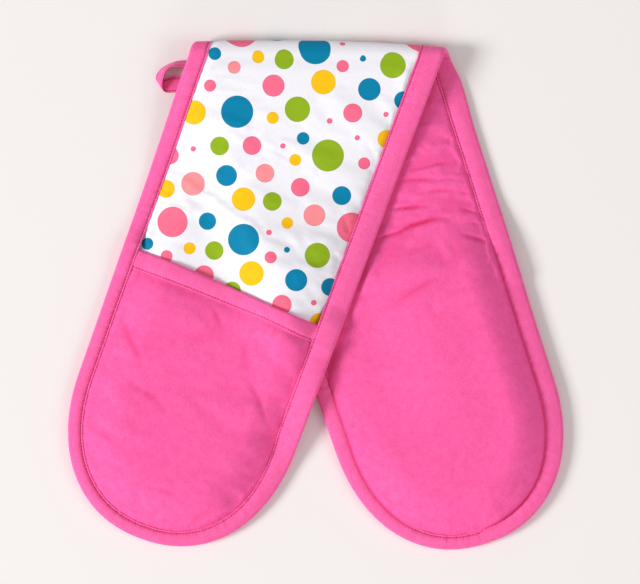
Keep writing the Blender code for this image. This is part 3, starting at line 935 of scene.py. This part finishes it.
class Colours(bpy.types.PropertyGroup):
    """Colours of the glove's cloths and of its print."""

    plain: colour("Plain cotton", "Back, pockets and lining", "#fe60a5")
    tape: colour("Bias tape", "Binding, hems and loop", "#ff66a7")
    thread: colour("Thread", "Sewing thread of the topstitch", "#d8387c")
    ground: colour("Printed ground", "Ground of the spotted cotton", "#f4f2f8")
    blue: colour("Blue spots", "Teal blue of the print", "#0082ab")
    green: colour("Green spots", "Leaf green of the print", "#93b41f")
    yellow: colour("Yellow spots", "Warm yellow of the print", "#fec414")
    pink: colour("Pink spots", "Hot pink of the print", "#fb6f8f")
    salmon: colour("Salmon spots", "Light salmon of the print", "#fd9398")


class Sizes(bpy.types.PropertyGroup):
    """Sizes that shape the glove's soft parts."""

    fine_step: length("Fine step", "Grid step of the panels that show", 0.0014, 0.01)
    plain_step: length("Plain step", "Grid step of the layers inside", 0.0035, 0.02)
    cloth_ease: FloatProperty(
        name="Cloth ease", description="Share by which a panel is larger than its seam",
        default=0.03, min=0.0, max=0.2, subtype="FACTOR",
    )
    stuffing_pressure: FloatProperty(
        name="Stuffing pressure", description="How hard the wadding pushes a panel out",
        default=4.0, min=0.0, max=50.0,
    )
    stuffing_frames: IntProperty(
        name="Stuffing steps", description="Frames that the cloth simulation runs", default=20,
        min=2, max=100,
    )
    pucker_cap: length("Pucker cap", "Most that a wrinkle rises or falls", 0.0012, 0.005)
    stitch_pitch: length("Stitch pitch", "From one topstitch to the next", 0.0026, 0.01)
    stitch_length: length("Stitch length", "Part of a topstitch that shows", 0.0019, 0.01)
    thread_radius: length("Thread radius", "Radius of the sewing thread", 0.00023, 0.001)


class GLOVE_OT_finishes(bpy.types.Operator):
    """Make the materials of the cloths, the wadding and the thread"""

    bl_idname = "glove.finishes"
    bl_label = "Finishes"

    def execute(self, context):
        colours = context.scene.glove_colours
        # Plain woven cotton, dyed. Threads drawn 0.9 mm apart, coarser than real, so they show.
        # It gives a soft matt surface with a faint grain and a little bloom at grazing angles.
        for name, shade, bloom, warp, weft in (
            ("dyed_cotton", colours.plain, 0.04, 1100.0, 330.0),
            ("cotton_bias_tape", colours.tape, 0.22, 1300.0, 420.0),
        ):
            tree = new_material(name)
            place = add_node(tree, "UVMap", uv_map="Cloth").outputs[0]
            # Threads, slubs 1.6 mm across, blotches 6 mm across and slow changes of the dye
            both = thread_grain(tree, place, warp, weft)
            for scale, weight in ((620.0, 1.0), (160.0, 1.1), (30.0, 0.25)):
                patch = add_node(tree, "TexNoise", {"Vector": place, "Scale": scale, "Detail": 2.0})
                both = add_node(
                    tree, "Math", {0: patch.outputs["Fac"], 1: weight, 2: both},
                    operation="MULTIPLY_ADD",
                ).outputs[0]
            tone = add_node(tree, "MapRange", {"Value": both, "From Min": 1.5, "From Max": 2.85})
            # Darker threads are deeper in colour too
            dark, light = tinted(shade, 0.93, 0.72, 0.78), tinted(shade, 1.07, 1.26, 1.2)
            base = add_node(
                tree, "Mix", {"Factor": tone.outputs[0], 6: dark, 7: light}, data_type="RGBA"
            ).outputs[2]
            # Painted shade: the colour darkens down in a crease and along the seam line, where
            # light only comes off other pink cloth
            deep = add_node(tree, "Attribute", attribute_name="crease_depth").outputs["Fac"]
            share = add_node(tree, "MapRange", {"Value": deep, "To Max": 0.75}).outputs[0]
            shown = add_node(
                tree, "Mix", {"Factor": share, 6: base, 7: tinted(shade, 0.78, 0.36, 0.50)},
                data_type="RGBA",
            ).outputs[2]
            if name == "cotton_bias_tape":
                # Painted shade of the needle holes: a dark dot at each whole pitch along the stitch
                # line
                pitch = context.scene.glove_sizes.stitch_pitch
                away = place
                for operation, *limits in (
                    ("SUBTRACT", (0.0, STITCH_INSET, 0.0)),
                    ("WRAP", (pitch / 2, 1.0, 1.0), (-pitch / 2, -1.0, -1.0)),
                    ("LENGTH",),
                ):
                    away = add_node(
                        tree, "VectorMath", dict(enumerate([away, *limits])), operation=operation
                    ).outputs["Value" if operation == "LENGTH" else "Vector"]
                hole_shade = add_node(
                    tree, "MapRange",
                    {"Value": away, "From Min": 0.0003, "From Max": 0.0008, "To Min": 1.0,
                     "To Max": 0.0},
                ).outputs[0]
                shown = add_node(
                    tree, "Mix", {"Factor": hole_shade, 6: shown, 7: tinted(shade, 0.5, 0.3, 0.4)},
                    data_type="RGBA",
                ).outputs[2]
            end_material(
                tree,
                {"Base Color": shown, "Roughness": 0.85, "Specular IOR Level": 0.1,
                 "Sheen Weight": bloom, "Sheen Roughness": 0.4},
                {"Height": both, "Strength": 0.45, "Distance": 0.0003},
            )

        # Percale printed with pigment spots. The ink lies on the threads, so the rims are crisp
        # to a thread and a little darker, and the ink is slightly smoother than bare cotton.
        tree = new_material("printed_percale")
        place = add_node(tree, "UVMap", uv_map="Cloth").outputs[0]
        grain = thread_grain(tree, place, 1200.0, 360.0)
        reach = add_node(tree, "Attribute", attribute_name="spot_reach").outputs["Fac"]
        spot = add_node(tree, "Attribute", attribute_name="spot_colour").outputs["Color"]
        wobble = add_node(
            tree, "Math", {0: grain, 1: 0.00018, 2: reach}, operation="MULTIPLY_ADD"
        ).outputs[0]
        ink, rim, tone = (
            add_node(
                tree, "MapRange",
                {"Value": value, "From Min": start, "From Max": end, "To Min": low, "To Max": high},
            ).outputs[0]
            for value, start, end, low, high in (
                (wobble, 0.00006, 0.0003, 0.0, 1.0),
                (wobble, 0.0003, 0.0011, 0.87, 1.0),
                (grain, 0.6, 1.4, 0.95, 1.03),
            )
        )
        shade = add_node(tree, "Math", {0: rim, 1: tone}, operation="MULTIPLY").outputs[0]
        inked, bare = (
            add_node(
                tree, "Mix", {"Factor": 1.0, 6: own, 7: worn}, data_type="RGBA",
                blend_type="MULTIPLY",
            ).outputs[2]
            for own, worn in ((spot, shade), (tinted(colours.ground), tone))
        )
        base = add_node(tree, "Mix", {"Factor": ink, 6: bare, 7: inked}, data_type="RGBA")
        matt = add_node(tree, "MapRange", {"Value": ink, "To Min": 0.88, "To Max": 0.70})
        end_material(
            tree,
            {"Base Color": base.outputs[2], "Roughness": matt.outputs[0],
             "Specular IOR Level": 0.12, "Sheen Weight": 0.03, "Sheen Roughness": 0.4},
            {"Height": grain, "Strength": 0.3, "Distance": 0.0003},
        )

        # Needled polyester wadding: loose white fibres, fuzzy and fully matt.
        tree = new_material("polyester_wadding")
        place = add_node(tree, "UVMap", uv_map="Cloth").outputs[0]
        fibre = add_node(
            tree, "TexNoise", {"Vector": place, "Scale": 500.0, "Detail": 4.0, "Distortion": 1.5}
        ).outputs["Fac"]
        fluff = {"Factor": fibre, 6: linear("#d9d8d2"), 7: linear("#f4f3ee")}
        end_material(
            tree,
            {"Base Color": add_node(tree, "Mix", fluff, data_type="RGBA").outputs[2],
             "Roughness": 0.95, "Specular IOR Level": 0.1, "Sheen Weight": 0.3},
            {"Height": fibre, "Distance": 0.0005},
        )

        # Spun polyester sewing thread: two plies twisted, with the slight gloss of the fibre.
        tree = new_material("sewing_thread")
        place = add_node(tree, "UVMap", uv_map="Cloth").outputs[0]
        twist = add_node(
            tree, "TexWave", {"Vector": place, "Scale": 350.0}, bands_direction="DIAGONAL"
        ).outputs["Fac"]
        dark, light = tinted(colours.thread, 0.8, 0.8, 0.8), tinted(colours.thread)
        plies = {"Factor": twist, 6: dark, 7: light}
        end_material(
            tree,
            {"Base Color": add_node(tree, "Mix", plies, data_type="RGBA").outputs[2],
             "Roughness": 0.55},
            {"Height": twist, "Distance": 0.0001},
        )
        return {"FINISHED"}


class GLOVE_OT_stuffing(bpy.types.Operator):
    """Simulate how the stuffed panels pucker along their seams"""

    bl_idname = "glove.stuffing"
    bl_label = "Stuffing"

    def execute(self, context):
        for seed, name in enumerate(("upper_front", "upper_pocket", "lower_back")):
            columns = even_columns(STUFFING_STEP)
            grid = Grid(name.split("_")[0], STUFFING_STEP, columns, from_mouth="pocket" in name)
            sizes = context.scene.glove_sizes
            RELIEFS[name] = stuffed_relief(f"{name}_stuffing", grid, sizes, seed)
        return {"FINISHED"}


def make_layer(arm, layer, seen, sizes):
    """One layer of an arm, a closed sheet between two heights, with the bend before the upper's.

    The seen face of the body or pocket has its relief. A cloth is 0.6 mm thick, and the wadding
    fills what is left inside. Its cut is its grid on the flat cloth.
    """
    upper, inside, pocketed = arm == "upper", "wadding" in layer, "pocket" in layer
    step = sizes.plain_step
    if "front" in layer or seen:
        step = sizes.fine_step * (1.0 if seen else 1.5)
    grid = Grid(arm, step, (seam_columns if seen else even_columns)(step), pocketed)
    face = np.clip(grid.inset, BINDING_WIDTH, None)
    low, high = LEVELS[arm][0](grid.s, grid.v, face)[2 * pocketed :][:2]
    looks = "lower_back"
    if pocketed:
        looks = "upper_pocket"
        if upper:
            hem_end = mouth(arm, grid.v) + hem_width(arm, grid.v)
            past_hem = np.clip(grid.s - hem_end - WADDING_BACK * inside, 0.0, None)
            clear = rise(past_hem, SHOULDER_REACH)
            high = high + panel_relief(looks, grid, sizes, inside) * clear
            high += 0.0 if inside else gathers(grid.v, past_hem, 5)
    else:
        clear = smooth((grid.s - first_line(grid.v)) / BEND_FADE)
        if upper:
            looks = "upper_front"
            past_mouth = grid.s - mouth(arm, grid.v)
            clear *= 1.0 - smooth((past_mouth + PANEL_FADE / 2) / PANEL_FADE)
        else:
            x, y = plan(grid.s, grid.v, 1)
            over = x * COS + (FOLD_Y - y) * SIN - half_width(OVERLAP_MIDDLE)
            clear *= smooth((over + OVERLAP_SLACK) / PANEL_FADE)
        high = high + panel_relief(looks, grid, sizes, inside) * clear
        if upper:
            high += mouth_lift(grid.s, grid.v, face)
    if inside:
        low = low + CLOTH + GAP
        high = np.maximum(high - CLOTH - GAP, low + LEAST_WADDING)
    elif ("front" in layer) == upper:
        low = high - CLOTH
    else:
        high = low + CLOTH
    faces = [arm_points(arm, grid.s, grid.v, z) for z in (low, high)]
    flat = np.stack([grid.s, grid.v], axis=-1)
    nodes, body_name = [f"{arm}_{layer}"], f"{arm}_arm"
    if upper and not pocketed:
        *bend, bend_flat = bend_rows(grid, layer)
        faces = [np.concatenate(pair) for pair in zip(bend, faces)]
        flat = np.concatenate([bend_flat, flat])
        nodes, body_name = nodes + [f"fold_{layer}"], None
    material = "polyester_wadding" if inside else "dyed_cotton"
    if layer == "front_panel":
        material = "printed_percale"
    places = np.tile(flat.reshape(-1, 2), (2, 1))
    item = make_piece(
        f"{arm}_arm_{layer}", *sheet_mesh(*faces), places, material, body_name, *nodes
    )
    if layer == "front_panel":
        print_spots(item, places if upper else (LOWER_SHIFT, 0.0) - places)
    elif seen:
        # painted shade down in the seen panel's creases
        store_painted_shade(item, looks, grid)
    if inside:
        return


class GLOVE_OT_panels(bpy.types.Operator):
    """Make the front panel, wadding and back panel of both arms, with the bend of the fold"""

    bl_idname = "glove.panels"
    bl_label = "Panels"

    def execute(self, context):
        for arm, seen in (("upper", "front_panel"), ("lower", "back_panel")):
            for layer in ("front_panel", "wadding", "back_panel"):
                make_layer(arm, layer, layer == seen, context.scene.glove_sizes)
        return {"FINISHED"}


class GLOVE_OT_pockets(bpy.types.Operator):
    """Make the front, wadding and lining of both hand pockets"""

    bl_idname = "glove.pockets"
    bl_label = "Pockets"

    def execute(self, context):
        for arm, seen in (("upper", "pocket_front"), ("lower", None)):
            for layer in ("pocket_front", "pocket_wadding", "pocket_lining"):
                make_layer(arm, layer, layer == seen, context.scene.glove_sizes)
        return {"FINISHED"}


# Binding


def edge_run(arm, step):
    """Stations round an arm's edge: (outline s, v, edge side, turn, s and v per metre of inset).

    The run starts at the bend's lower end on the left edge and ends at its lower end on the right
    edge. turn is 1 on the arm and less on the bend. The lower arm has no bend.
    """
    runs = []
    for edge in (-1, 1):
        start = edge_start(edge)
        s = np.linspace(start, ARM_STRAIGHT, round((ARM_STRAIGHT - start) / step), endpoint=False)
        skew = TAN * (1.0 - smooth((s - start) / SKEW_LENGTH))
        v = edge * (half_width(s) + stands_out(arm, s, edge))
        straight = np.column_stack([s, v, 0 * s + edge, 0 * s + 1.0, edge * skew, 0 * s - edge])
        angle = np.linspace(0.0, math.pi / 2, round(TOE_RUN / step), endpoint=edge < 0)
        toe_s, toe_v = toe_edge(angle)
        in_s, in_v = toe_inward(toe_s, edge * np.maximum(toe_v, 1e-9))
        toe = np.column_stack([toe_s, edge * toe_v, 0 * angle + edge, 0 * angle + 1.0, in_s, in_v])
        parts = [straight, toe]
        if arm == "upper":
            turn = np.linspace(0.0, 1.0, round(math.pi * BEND_OUTER / step), endpoint=False)
            bend = np.repeat(straight[:1], len(turn), axis=0)
            bend[:, 3] = turn
            parts.insert(0, bend)
        run = np.concatenate(parts)
        runs.append(run if edge < 0 else run[::-1])
    return np.concatenate(runs)


def edge_faces(arm, run, inset):
    """Lower and upper points of what the binding wraps, at each station and inset."""
    s = run[:, :1] + run[:, 4:5] * inset
    v = run[:, 1:2] + run[:, 5:6] * inset
    face = np.clip(inset, BINDING_WIDTH, None) + 0.0 * s
    low, high, pocket_low, pocket_high = LEVELS[arm][0](s, v, face)
    step = smooth((s - mouth(arm, v) + MOUTH_STEP) / (MOUTH_STEP - PANEL_INSET))
    extra = BINDING_ROOM * hem_share(arm, s, v)
    if arm == "upper":
        high = high + (pocket_high + extra - high) * step
    else:
        low = low + (pocket_low - extra - low) * step
    faces = [arm_points(arm, s, v, z) for z in (low, high)]
    bending = run[:, 3] < 1.0
    if bending.any():
        parts = bend_faces(s[bending], v[bending], face[bending], run[bending, 3:4])
        for whole, part in zip(faces, parts):
            whole[bending] = part
    return faces


def binding_profile(width, dome, along, seed):
    """Closed section of the folded tape: inset, share from low to high, lift and flat place.

    The upper leg runs from its turned-under inner edge outwards, round the edge in half an ellipse,
    and back along the lower leg, then the inside returns along the wrapped faces. Each leg domes
    between its stitch line and its rim by its share of the full dome, and the stitches press a
    groove and gather the tape.
    """
    steps = np.array([0.0, 0.15, 0.4, 0.8, 1.2, 1.5, 1.8, 2.2, 2.8, 3.6, 4.8]) / 1000
    lip = np.array([0.4, 0.8] + [1.0] * 15)
    count = len(along)
    legs = []
    for number, leg_width in enumerate(width):
        near = leg_width - steps
        far = near[:, -1:] + (TAPE_RIM - near[:, -1:]) * np.linspace(0.0, 1.0, 7)[1:]
        inset = np.concatenate([near, far], axis=1)
        flat = leg_width - inset
        pressed = STITCH_GROOVE * np.exp(-(((flat - STITCH_INSET) / GROOVE_WIDTH) ** 2))
        span = np.clip((flat - STITCH_INSET) / (leg_width - TAPE_RIM - STITCH_INSET), 0.0, 1.0)
        swell = TAPE_DOME * dome[number] * np.sin(math.pi * span) ** 0.8
        away = np.abs(flat - STITCH_INSET)
        gathered = gathers(along[:, None] + 0.0 * flat, away + 0.0005, seed + number)
        gathered *= TAPE_GATHERED * dome[number]
        legs.append((inset, TAPE * lip + swell + gathered - pressed, flat))
    angle = np.radians(np.linspace(90.0, -90.0, 13))[1:-1]
    rim = np.zeros((count, 1))
    wall = np.full((count, 1), PANEL_INSET - GAP)
    inside = np.concatenate(
        [width[1] * np.linspace(0.97, 0.3, 4), wall, wall, width[0] * np.linspace(0.3, 0.97, 4)],
        axis=1,
    )
    side = np.array([0.0] * 5 + [1.0] * 5)
    inset = [legs[0][0], TAPE_RIM * (1.0 - np.cos(angle)) + rim, legs[1][0][:, ::-1], inside]
    share = [
        np.ones(legs[0][0].shape), 0.5 + 0.5 * np.sin(angle) + rim, np.zeros(legs[1][0].shape),
        side + rim,
    ]
    lift = [
        legs[0][1], TAPE * np.sin(angle) + rim, -legs[1][1][:, ::-1], GAP * (side - 0.5) + rim,
    ]
    flat = [legs[0][2], width[0] + 0.0 * angle, legs[1][2][:, ::-1], TAPE_INSIDE + 0.0 * inside]
    return [np.concatenate(parts, axis=1) for parts in (inset, share, lift, flat)]


def on_edge(arm, run, inset, share, lift):
    """World points at a share of the way from the lower face to the upper, lifted outwards."""
    low, high = edge_faces(arm, run, inset)
    return low + (high - low) * share[..., None] + unit(high - low) * lift[..., None]


def run_length(points):
    """Distance along a row of points."""
    return np.concatenate([[0.0], np.cumsum(np.linalg.norm(np.diff(points, axis=0), axis=1))])


def stitches(name, line, out, along, sizes, body_name):
    """Topstitches along a line: short spindles whose ends dive into the cloth.

    Each is rings of six points about the line's tangent, thin and low at both ends. out is the
    outward direction at each point of the line, and along is the tape's own measure there: the
    needle holes lie at its whole pitches, and the stitches between them.
    """
    count = int((along[-1] - along[0]) / sizes.stitch_pitch) - 2
    centres = (np.arange(count) + 1.5 + int(along[0] / sizes.stitch_pitch)) * sizes.stitch_pitch
    share = np.array([-0.5, -0.38, -0.15, 0.15, 0.38, 0.5])
    size = np.array([0.25, 0.85, 1.0, 1.0, 0.85, 0.25])
    dive = np.array([-1.6, -0.35, 0.0, 0.0, -0.35, -1.6]) * sizes.thread_radius
    at = centres[:, None] + share * sizes.stitch_length

    def follow(values, where):
        return np.stack([np.interp(where, along, values[:, k]) for k in range(3)], axis=-1)

    place = follow(line, at)
    ahead = unit(follow(line, at + 1e-4) - follow(line, at - 1e-4))
    aside = unit(np.cross(ahead, follow(out, at)))
    up = np.cross(aside, ahead)
    angle = np.linspace(0.0, 2 * math.pi, 6, endpoint=False)
    radius = (sizes.thread_radius * size)[None, :, None, None]
    ring = aside[:, :, None] * np.cos(angle)[:, None] + up[:, :, None] * np.sin(angle)[:, None]
    points = place[:, :, None] + up[:, :, None] * dive[None, :, None, None] + ring * radius
    count, rings, sides = points.shape[:3]
    caps = np.array([[0, 1, 2, 3], [0, 3, 4, 5]])
    one = [quads(rings, sides, closed=True), caps, caps[:, ::-1] + (rings - 1) * sides]
    after = np.arange(count) * rings * sides
    faces = (np.concatenate(one)[None] + after[:, None, None]).reshape(-1, 4)
    flat = flat_places(at[:, :, None], angle[None, None] * sizes.thread_radius)
    return make_piece(name, points.reshape(-1, 3), faces, flat, "sewing_thread", body_name)


class GLOVE_OT_binding(bpy.types.Operator):
    """Make the bias binding round the glove's edge and its topstitches"""

    bl_idname = "glove.binding"
    bl_label = "Binding"

    def execute(self, context):
        across_fold = [LEGS[("lower", -side)][0][1] - BINDING_WIDTH for side in (-1, 1)]
        for seed, arm in enumerate(("upper", "lower")):
            upper = arm == "upper"
            body_name = None if upper else "lower_arm"
            run = edge_run(arm, EDGE_STEP)
            edge, turn = run[:, 2:3], run[:, 3:4]
            seen = leg(arm, run[:, :1], edge * HALF_WIDTH_TOE) - BINDING_WIDTH
            seen = seen + stands_out(arm, run[:, :1], edge)
            unseen = np.where(edge < 0, *across_fold) * smooth(2.0 - 2.0 * turn)
            width = (BINDING_WIDTH + seen * smooth(2.0 * turn), BINDING_WIDTH + unseen)
            line = on_edge(arm, run, width[0] - STITCH_INSET, 1.0 + 0.0 * edge, TAPE + 0.0 * edge)
            along = run_length(line[:, 0])
            from_end = np.minimum(along, along[-1] - along)[:, None]
            dome = smooth((from_end - math.pi * BEND_OUTER * upper) / DOME_LENGTH)
            *profile, flat = binding_profile(width, (dome, 0.0 * dome), along, 10 + seed)
            nodes = [f"{arm}_edge_binding"] + ["fold_left_binding", "fold_right_binding"] * upper
            item = make_piece(
                f"{arm}_arm_binding", *swept_mesh(on_edge(arm, run, *profile)),
                flat_places(along[:, None], flat), "cotton_bias_tape", body_name, *nodes,
            )
            for which, sign in ((0, 1), (1, -1)):
                inset = width[which] - STITCH_INSET
                share = np.full_like(inset, 1.0 - which)
                line = on_edge(arm, run, inset, share, np.full_like(inset, THREAD_RISE) * sign)
                low, high = edge_faces(arm, run, inset)
                face = "front" if (which == 0) == upper else "back"
                stitches(
                        f"{arm}_arm_{face}_topstitch", line[:, 0], unit((high - low)[:, 0] * sign),
                        along, context.scene.glove_sizes, body_name,
                    )
        return {"FINISHED"}


def pocket_faces(arm, s, v):
    """Lower and upper points of the pocket at the hem, level before the mouth."""
    far, _ = outline_distance(s, v + 0.0 * s)
    inset = np.clip(far, BINDING_WIDTH, None)
    _, _, low, high = LEVELS[arm][0](np.maximum(s, mouth(arm, v)), v + 0.0 * s, inset)
    return [arm_points(arm, s, v + 0.0 * s, z) for z in (low, high)]


class GLOVE_OT_hems(bpy.types.Operator):
    """Make the binding over each pocket's mouth and its topstitches"""

    bl_idname = "glove.hems"
    bl_label = "Pocket hems"

    def execute(self, context):
        up = np.array([0.0, 0.0, 1.0])
        for seed, arm in enumerate(("upper", "lower")):
            name = f"{arm}_arm_pocket_hem"
            reach = half_width(MOUTH) - HEM_SHORT
            v = np.linspace(-reach, reach, 130)[:, None]
            width = (hem_width(arm, v), np.full_like(v, BINDING_WIDTH))
            dome = (np.full_like(v, HEM_DOME), 0.0 * v)
            inset, share, lift, flat = binding_profile(width, dome, v[:, 0], 20 + seed)
            low, high = pocket_faces(arm, mouth(arm, v) - PANEL_INSET + GAP + inset, v)
            sections = low + (high - low) * share[..., None] + up * lift[..., None]
            item = make_piece(
                name, *swept_mesh(sections), flat_places(v + reach, flat), "cotton_bias_tape",
                f"{arm}_arm", f"{arm}_pocket_hem",
            )
            ends = [half_width(MOUTH) - leg(arm, MOUTH, side * HALF_WIDTH_TOE) for side in (-1, 1)]
            v_line = np.linspace(-ends[0], ends[1], 90)[:, None]
            for number, (face, sign) in enumerate((("over", 1.0), ("under", -1.0))):
                leg_width = np.interp(v_line, v[:, 0], width[number][:, 0])
                place = mouth(arm, v_line) - PANEL_INSET + GAP + leg_width - STITCH_INSET
                line = pocket_faces(arm, place, v_line)[1 - number][:, 0] + up * THREAD_RISE * sign
                stitches(
                        f"{name}_{face}_stitch", line, np.tile(up * sign, (len(line), 1)),
                        v_line[:, 0] + reach, context.scene.glove_sizes, f"{arm}_arm",
                    )
        return {"FINISHED"}


# Hanging loop: both rims of its tape in plan, from one end at the seam to the other, in mm from
# the middle of the fold. The first leg stands on its edge and the second lies flat.

LOOP_SEAM = -0.0068
LOOP_FOOT = (
    (-106.3, -14.0), (-112.6, -14.8), (-118.5, -16.5), (-123.3, -18.9), (-126.8, -21.6),
    (-129.6, -25.0), (-130.6, -28.2), (-129.2, -30.2), (-125.6, -29.8), (-121.2, -28.2),
    (-115.6, -26.9), (-110.1, -26.3),
)
LOOP_TOP = (
    (-107.8, -20.4), (-112.6, -19.7), (-116.5, -19.8), (-120.2, -21.4), (-123.0, -24.6),
    (-124.4, -28.8), (-125.1, -33.4), (-125.0, -37.4), (-122.8, -39.7), (-119.0, -40.1),
    (-114.2, -39.9), (-110.1, -39.9),
)
LOOP_HEIGHT = 0.0105
LOOP_TAPE = 0.0012
LOOP_WIDTH = 0.013
LOOP_STITCH_GROOVE, LOOP_GROOVE_WIDTH, LOOP_THREAD_SUNK = 0.0003, 0.0007, 0.0002
# Shares of the loop's length: where it starts to lie down, and over what length it does
LOOP_STANDS_UNTIL, LOOP_LIES_DOWN = 0.30, 0.55


def loop_rim(points, rows):
    """A rim in plan: a smooth curve through its points, with ends at the lower arm's edge."""
    rim = np.array(points) / 1000
    for end in (0, -1):
        rim[end, 0] = -(half_width(LOOP_SEAM) + GAP + rim[end, 1] * SIN) / COS
    return between(rim, rows, 2) + (0.0, FOLD_Y)


class GLOVE_OT_loop(bpy.types.Operator):
    """Make the hanging loop of tape with its stitching"""

    bl_idname = "glove.loop"
    bl_label = "Hanging loop"

    def execute(self, context):
        foot, top = loop_rim(LOOP_FOOT, 90), loop_rim(LOOP_TOP, 90)
        share = np.linspace(0.0, 1.0, len(foot))
        standing = LOOP_HEIGHT * (1.0 - smooth((share - LOOP_STANDS_UNTIL) / LOOP_LIES_DOWN))
        foot = np.column_stack([foot, np.full(len(foot), GAP + LOOP_TAPE / 2)])
        top = np.column_stack([top, foot[:, 2] + standing])
        middle = (foot + top) / 2
        out = unit(np.cross(np.gradient(middle, axis=0), top - foot))
        across = np.linspace(0.0, 1.0, 19)
        thick = LOOP_TAPE / 2 * np.sqrt(np.clip(1.0 - np.abs(2 * across - 1) ** 8, 0.04, 1.0))
        from_rim = LOOP_WIDTH * np.minimum(across, 1.0 - across)
        groove = np.exp(-(((from_rim - STITCH_INSET) / LOOP_GROOVE_WIDTH) ** 2))
        thick -= LOOP_STITCH_GROOVE * groove
        plain = foot[:, None] + (top - foot)[:, None] * across[None, :, None]
        sides = [plain + out[:, None] * (thick * sign)[None, :, None] for sign in (1.0, -1.0)]
        along = run_length(middle)
        item = make_piece(
            "hanging_loop", *swept_mesh(np.concatenate([sides[0], sides[1][:, ::-1]], axis=1)),
            flat_places(along[:, None], np.concatenate([from_rim, from_rim[::-1]])),
            "cotton_bias_tape", "hang_loop", "hang_loop",
        )
        for name, place in (("foot", STITCH_INSET), ("top", LOOP_WIDTH - STITCH_INSET)):
            for face, sign in (("outer", 1.0), ("inner", -1.0)):
                line = foot + (top - foot) * place / LOOP_WIDTH
                line = line + out * sign * (LOOP_TAPE / 2 - LOOP_THREAD_SUNK)
                stitches(
                        f"loop_{name}_{face}_stitch", line, out * sign, along,
                        context.scene.glove_sizes, "hang_loop",
                    )
        return {"FINISHED"}


# Stage

PHOTO_WIDTH = 640
METRES_PER_PIXEL = 0.000792
PHOTO_MIDDLE = (0.00205, 0.0030)
CAMERA_HEIGHT = 2.2
CAMERA_ROLL = math.radians(0.69)
# The height at which the scale holds, how far the table lies under the glove, and its reach
LEVEL_OF_SCALE = 0.010
TABLE_GAP, TABLE_REACH = 0.0002, 4.0
WORLD_TINT, WORLD_LIGHT = (1.0, 0.99, 1.0, 1.0), 0.42


class GLOVE_OT_stage(bpy.types.Operator):
    """Make the floor, the lamps, the world and the camera"""

    bl_idname = "glove.stage"
    bl_label = "Stage"

    def execute(self, context):
        scene = context.scene
        corners = [
            (x * TABLE_REACH, y * TABLE_REACH, -TABLE_GAP)
            for x, y in ((-1, -1), (1, -1), (1, 1), (-1, 1))
        ]
        mesh = bpy.data.meshes.new("tabletop")
        mesh.from_pydata(corners, [], [(0, 1, 2, 3)])
        table = bpy.data.objects.new("tabletop", mesh)
        scene.collection.objects.link(table)
        # Matt white paper sweep: even, with hardly any grain.
        end_material(
            new_material("paper_sweep"),
            {"Base Color": linear("#f0ebe9"), "Roughness": 0.9, "Specular IOR Level": 0.1},
        )
        mesh.materials.append(bpy.data.materials["paper_sweep"])

        world = bpy.data.worlds.new("studio")
        world.use_nodes = True
        scene.world = world
        sky = world.node_tree.nodes["Background"].inputs
        sky[0].default_value, sky[1].default_value = WORLD_TINT, WORLD_LIGHT

        for name, place, size, power in (
            ("key", (-5.89, -1.12, 3.60), 2.2, 448.0),
            ("front_strip", (0.6, -6.3, 1.95), 2.2, 60.0),
            ("fill", (4.57, -1.22, 3.69), 3.0, 76.0),
        ):
            lamp = bpy.data.lights.new(name, "AREA")
            lamp.size = size
            lamp.energy = power
            holder = bpy.data.objects.new(name, lamp)
            holder.location = place
            holder.rotation_mode = "QUATERNION"
            holder.rotation_quaternion = (-Vector(place)).to_track_quat("-Z", "Y")
            scene.collection.objects.link(holder)

        lens = bpy.data.cameras.new("photo_camera")
        lens.sensor_width = 36.0
        half = METRES_PER_PIXEL * PHOTO_WIDTH / 2
        lens.lens = lens.sensor_width / 2 * (CAMERA_HEIGHT - LEVEL_OF_SCALE) / half
        lens.clip_start, lens.clip_end = 0.1, 20.0
        camera = bpy.data.objects.new("photo_camera", lens)
        camera.location = (*PHOTO_MIDDLE, CAMERA_HEIGHT)
        camera.rotation_euler = (0.0, 0.0, CAMERA_ROLL)
        scene.collection.objects.link(camera)
        scene.camera = camera
        scene.view_settings.view_transform = "Standard"
        return {"FINISHED"}


class GLOVE_PT_panel(bpy.types.Panel):
    """Sizes, colours and steps of the oven glove"""

    bl_idname = "GLOVE_PT_panel"
    bl_label = "Oven glove"
    bl_space_type = "VIEW_3D"
    bl_region_type = "UI"
    bl_category = "Oven glove"

    def draw(self, context):
        layout = self.layout
        for group in (context.scene.glove_sizes, context.scene.glove_colours):
            box = layout.box()
            for key in group.__annotations__:
                box.prop(group, key)
        for operator in OPERATORS:
            layout.operator(operator.bl_idname)


OPERATORS = (
    GLOVE_OT_finishes,
    GLOVE_OT_stuffing,
    GLOVE_OT_panels,
    GLOVE_OT_pockets,
    GLOVE_OT_binding,
    GLOVE_OT_hems,
    GLOVE_OT_loop,
    GLOVE_OT_stage,
)
CLASSES = (Colours, Sizes, *OPERATORS, GLOVE_PT_panel)


def register():
    for item in CLASSES:
        bpy.utils.register_class(item)
    bpy.types.Scene.glove_colours = PointerProperty(type=Colours)
    bpy.types.Scene.glove_sizes = PointerProperty(type=Sizes)


def unregister():
    del bpy.types.Scene.glove_sizes
    del bpy.types.Scene.glove_colours
    for item in reversed(CLASSES):
        bpy.utils.unregister_class(item)


def main():
    register()
    for item in list(bpy.data.objects):
        if item.name in ("Cube", "Light", "Camera"):
            bpy.data.objects.remove(item)
    bpy.ops.glove.finishes()
    bpy.ops.glove.stuffing()
    bpy.ops.glove.panels()
    bpy.ops.glove.pockets()
    bpy.ops.glove.binding()
    bpy.ops.glove.hems()
    bpy.ops.glove.loop()
    bpy.ops.glove.stage()
    bpy.context.view_layer.update()


if __name__ == "__main__":
    main()
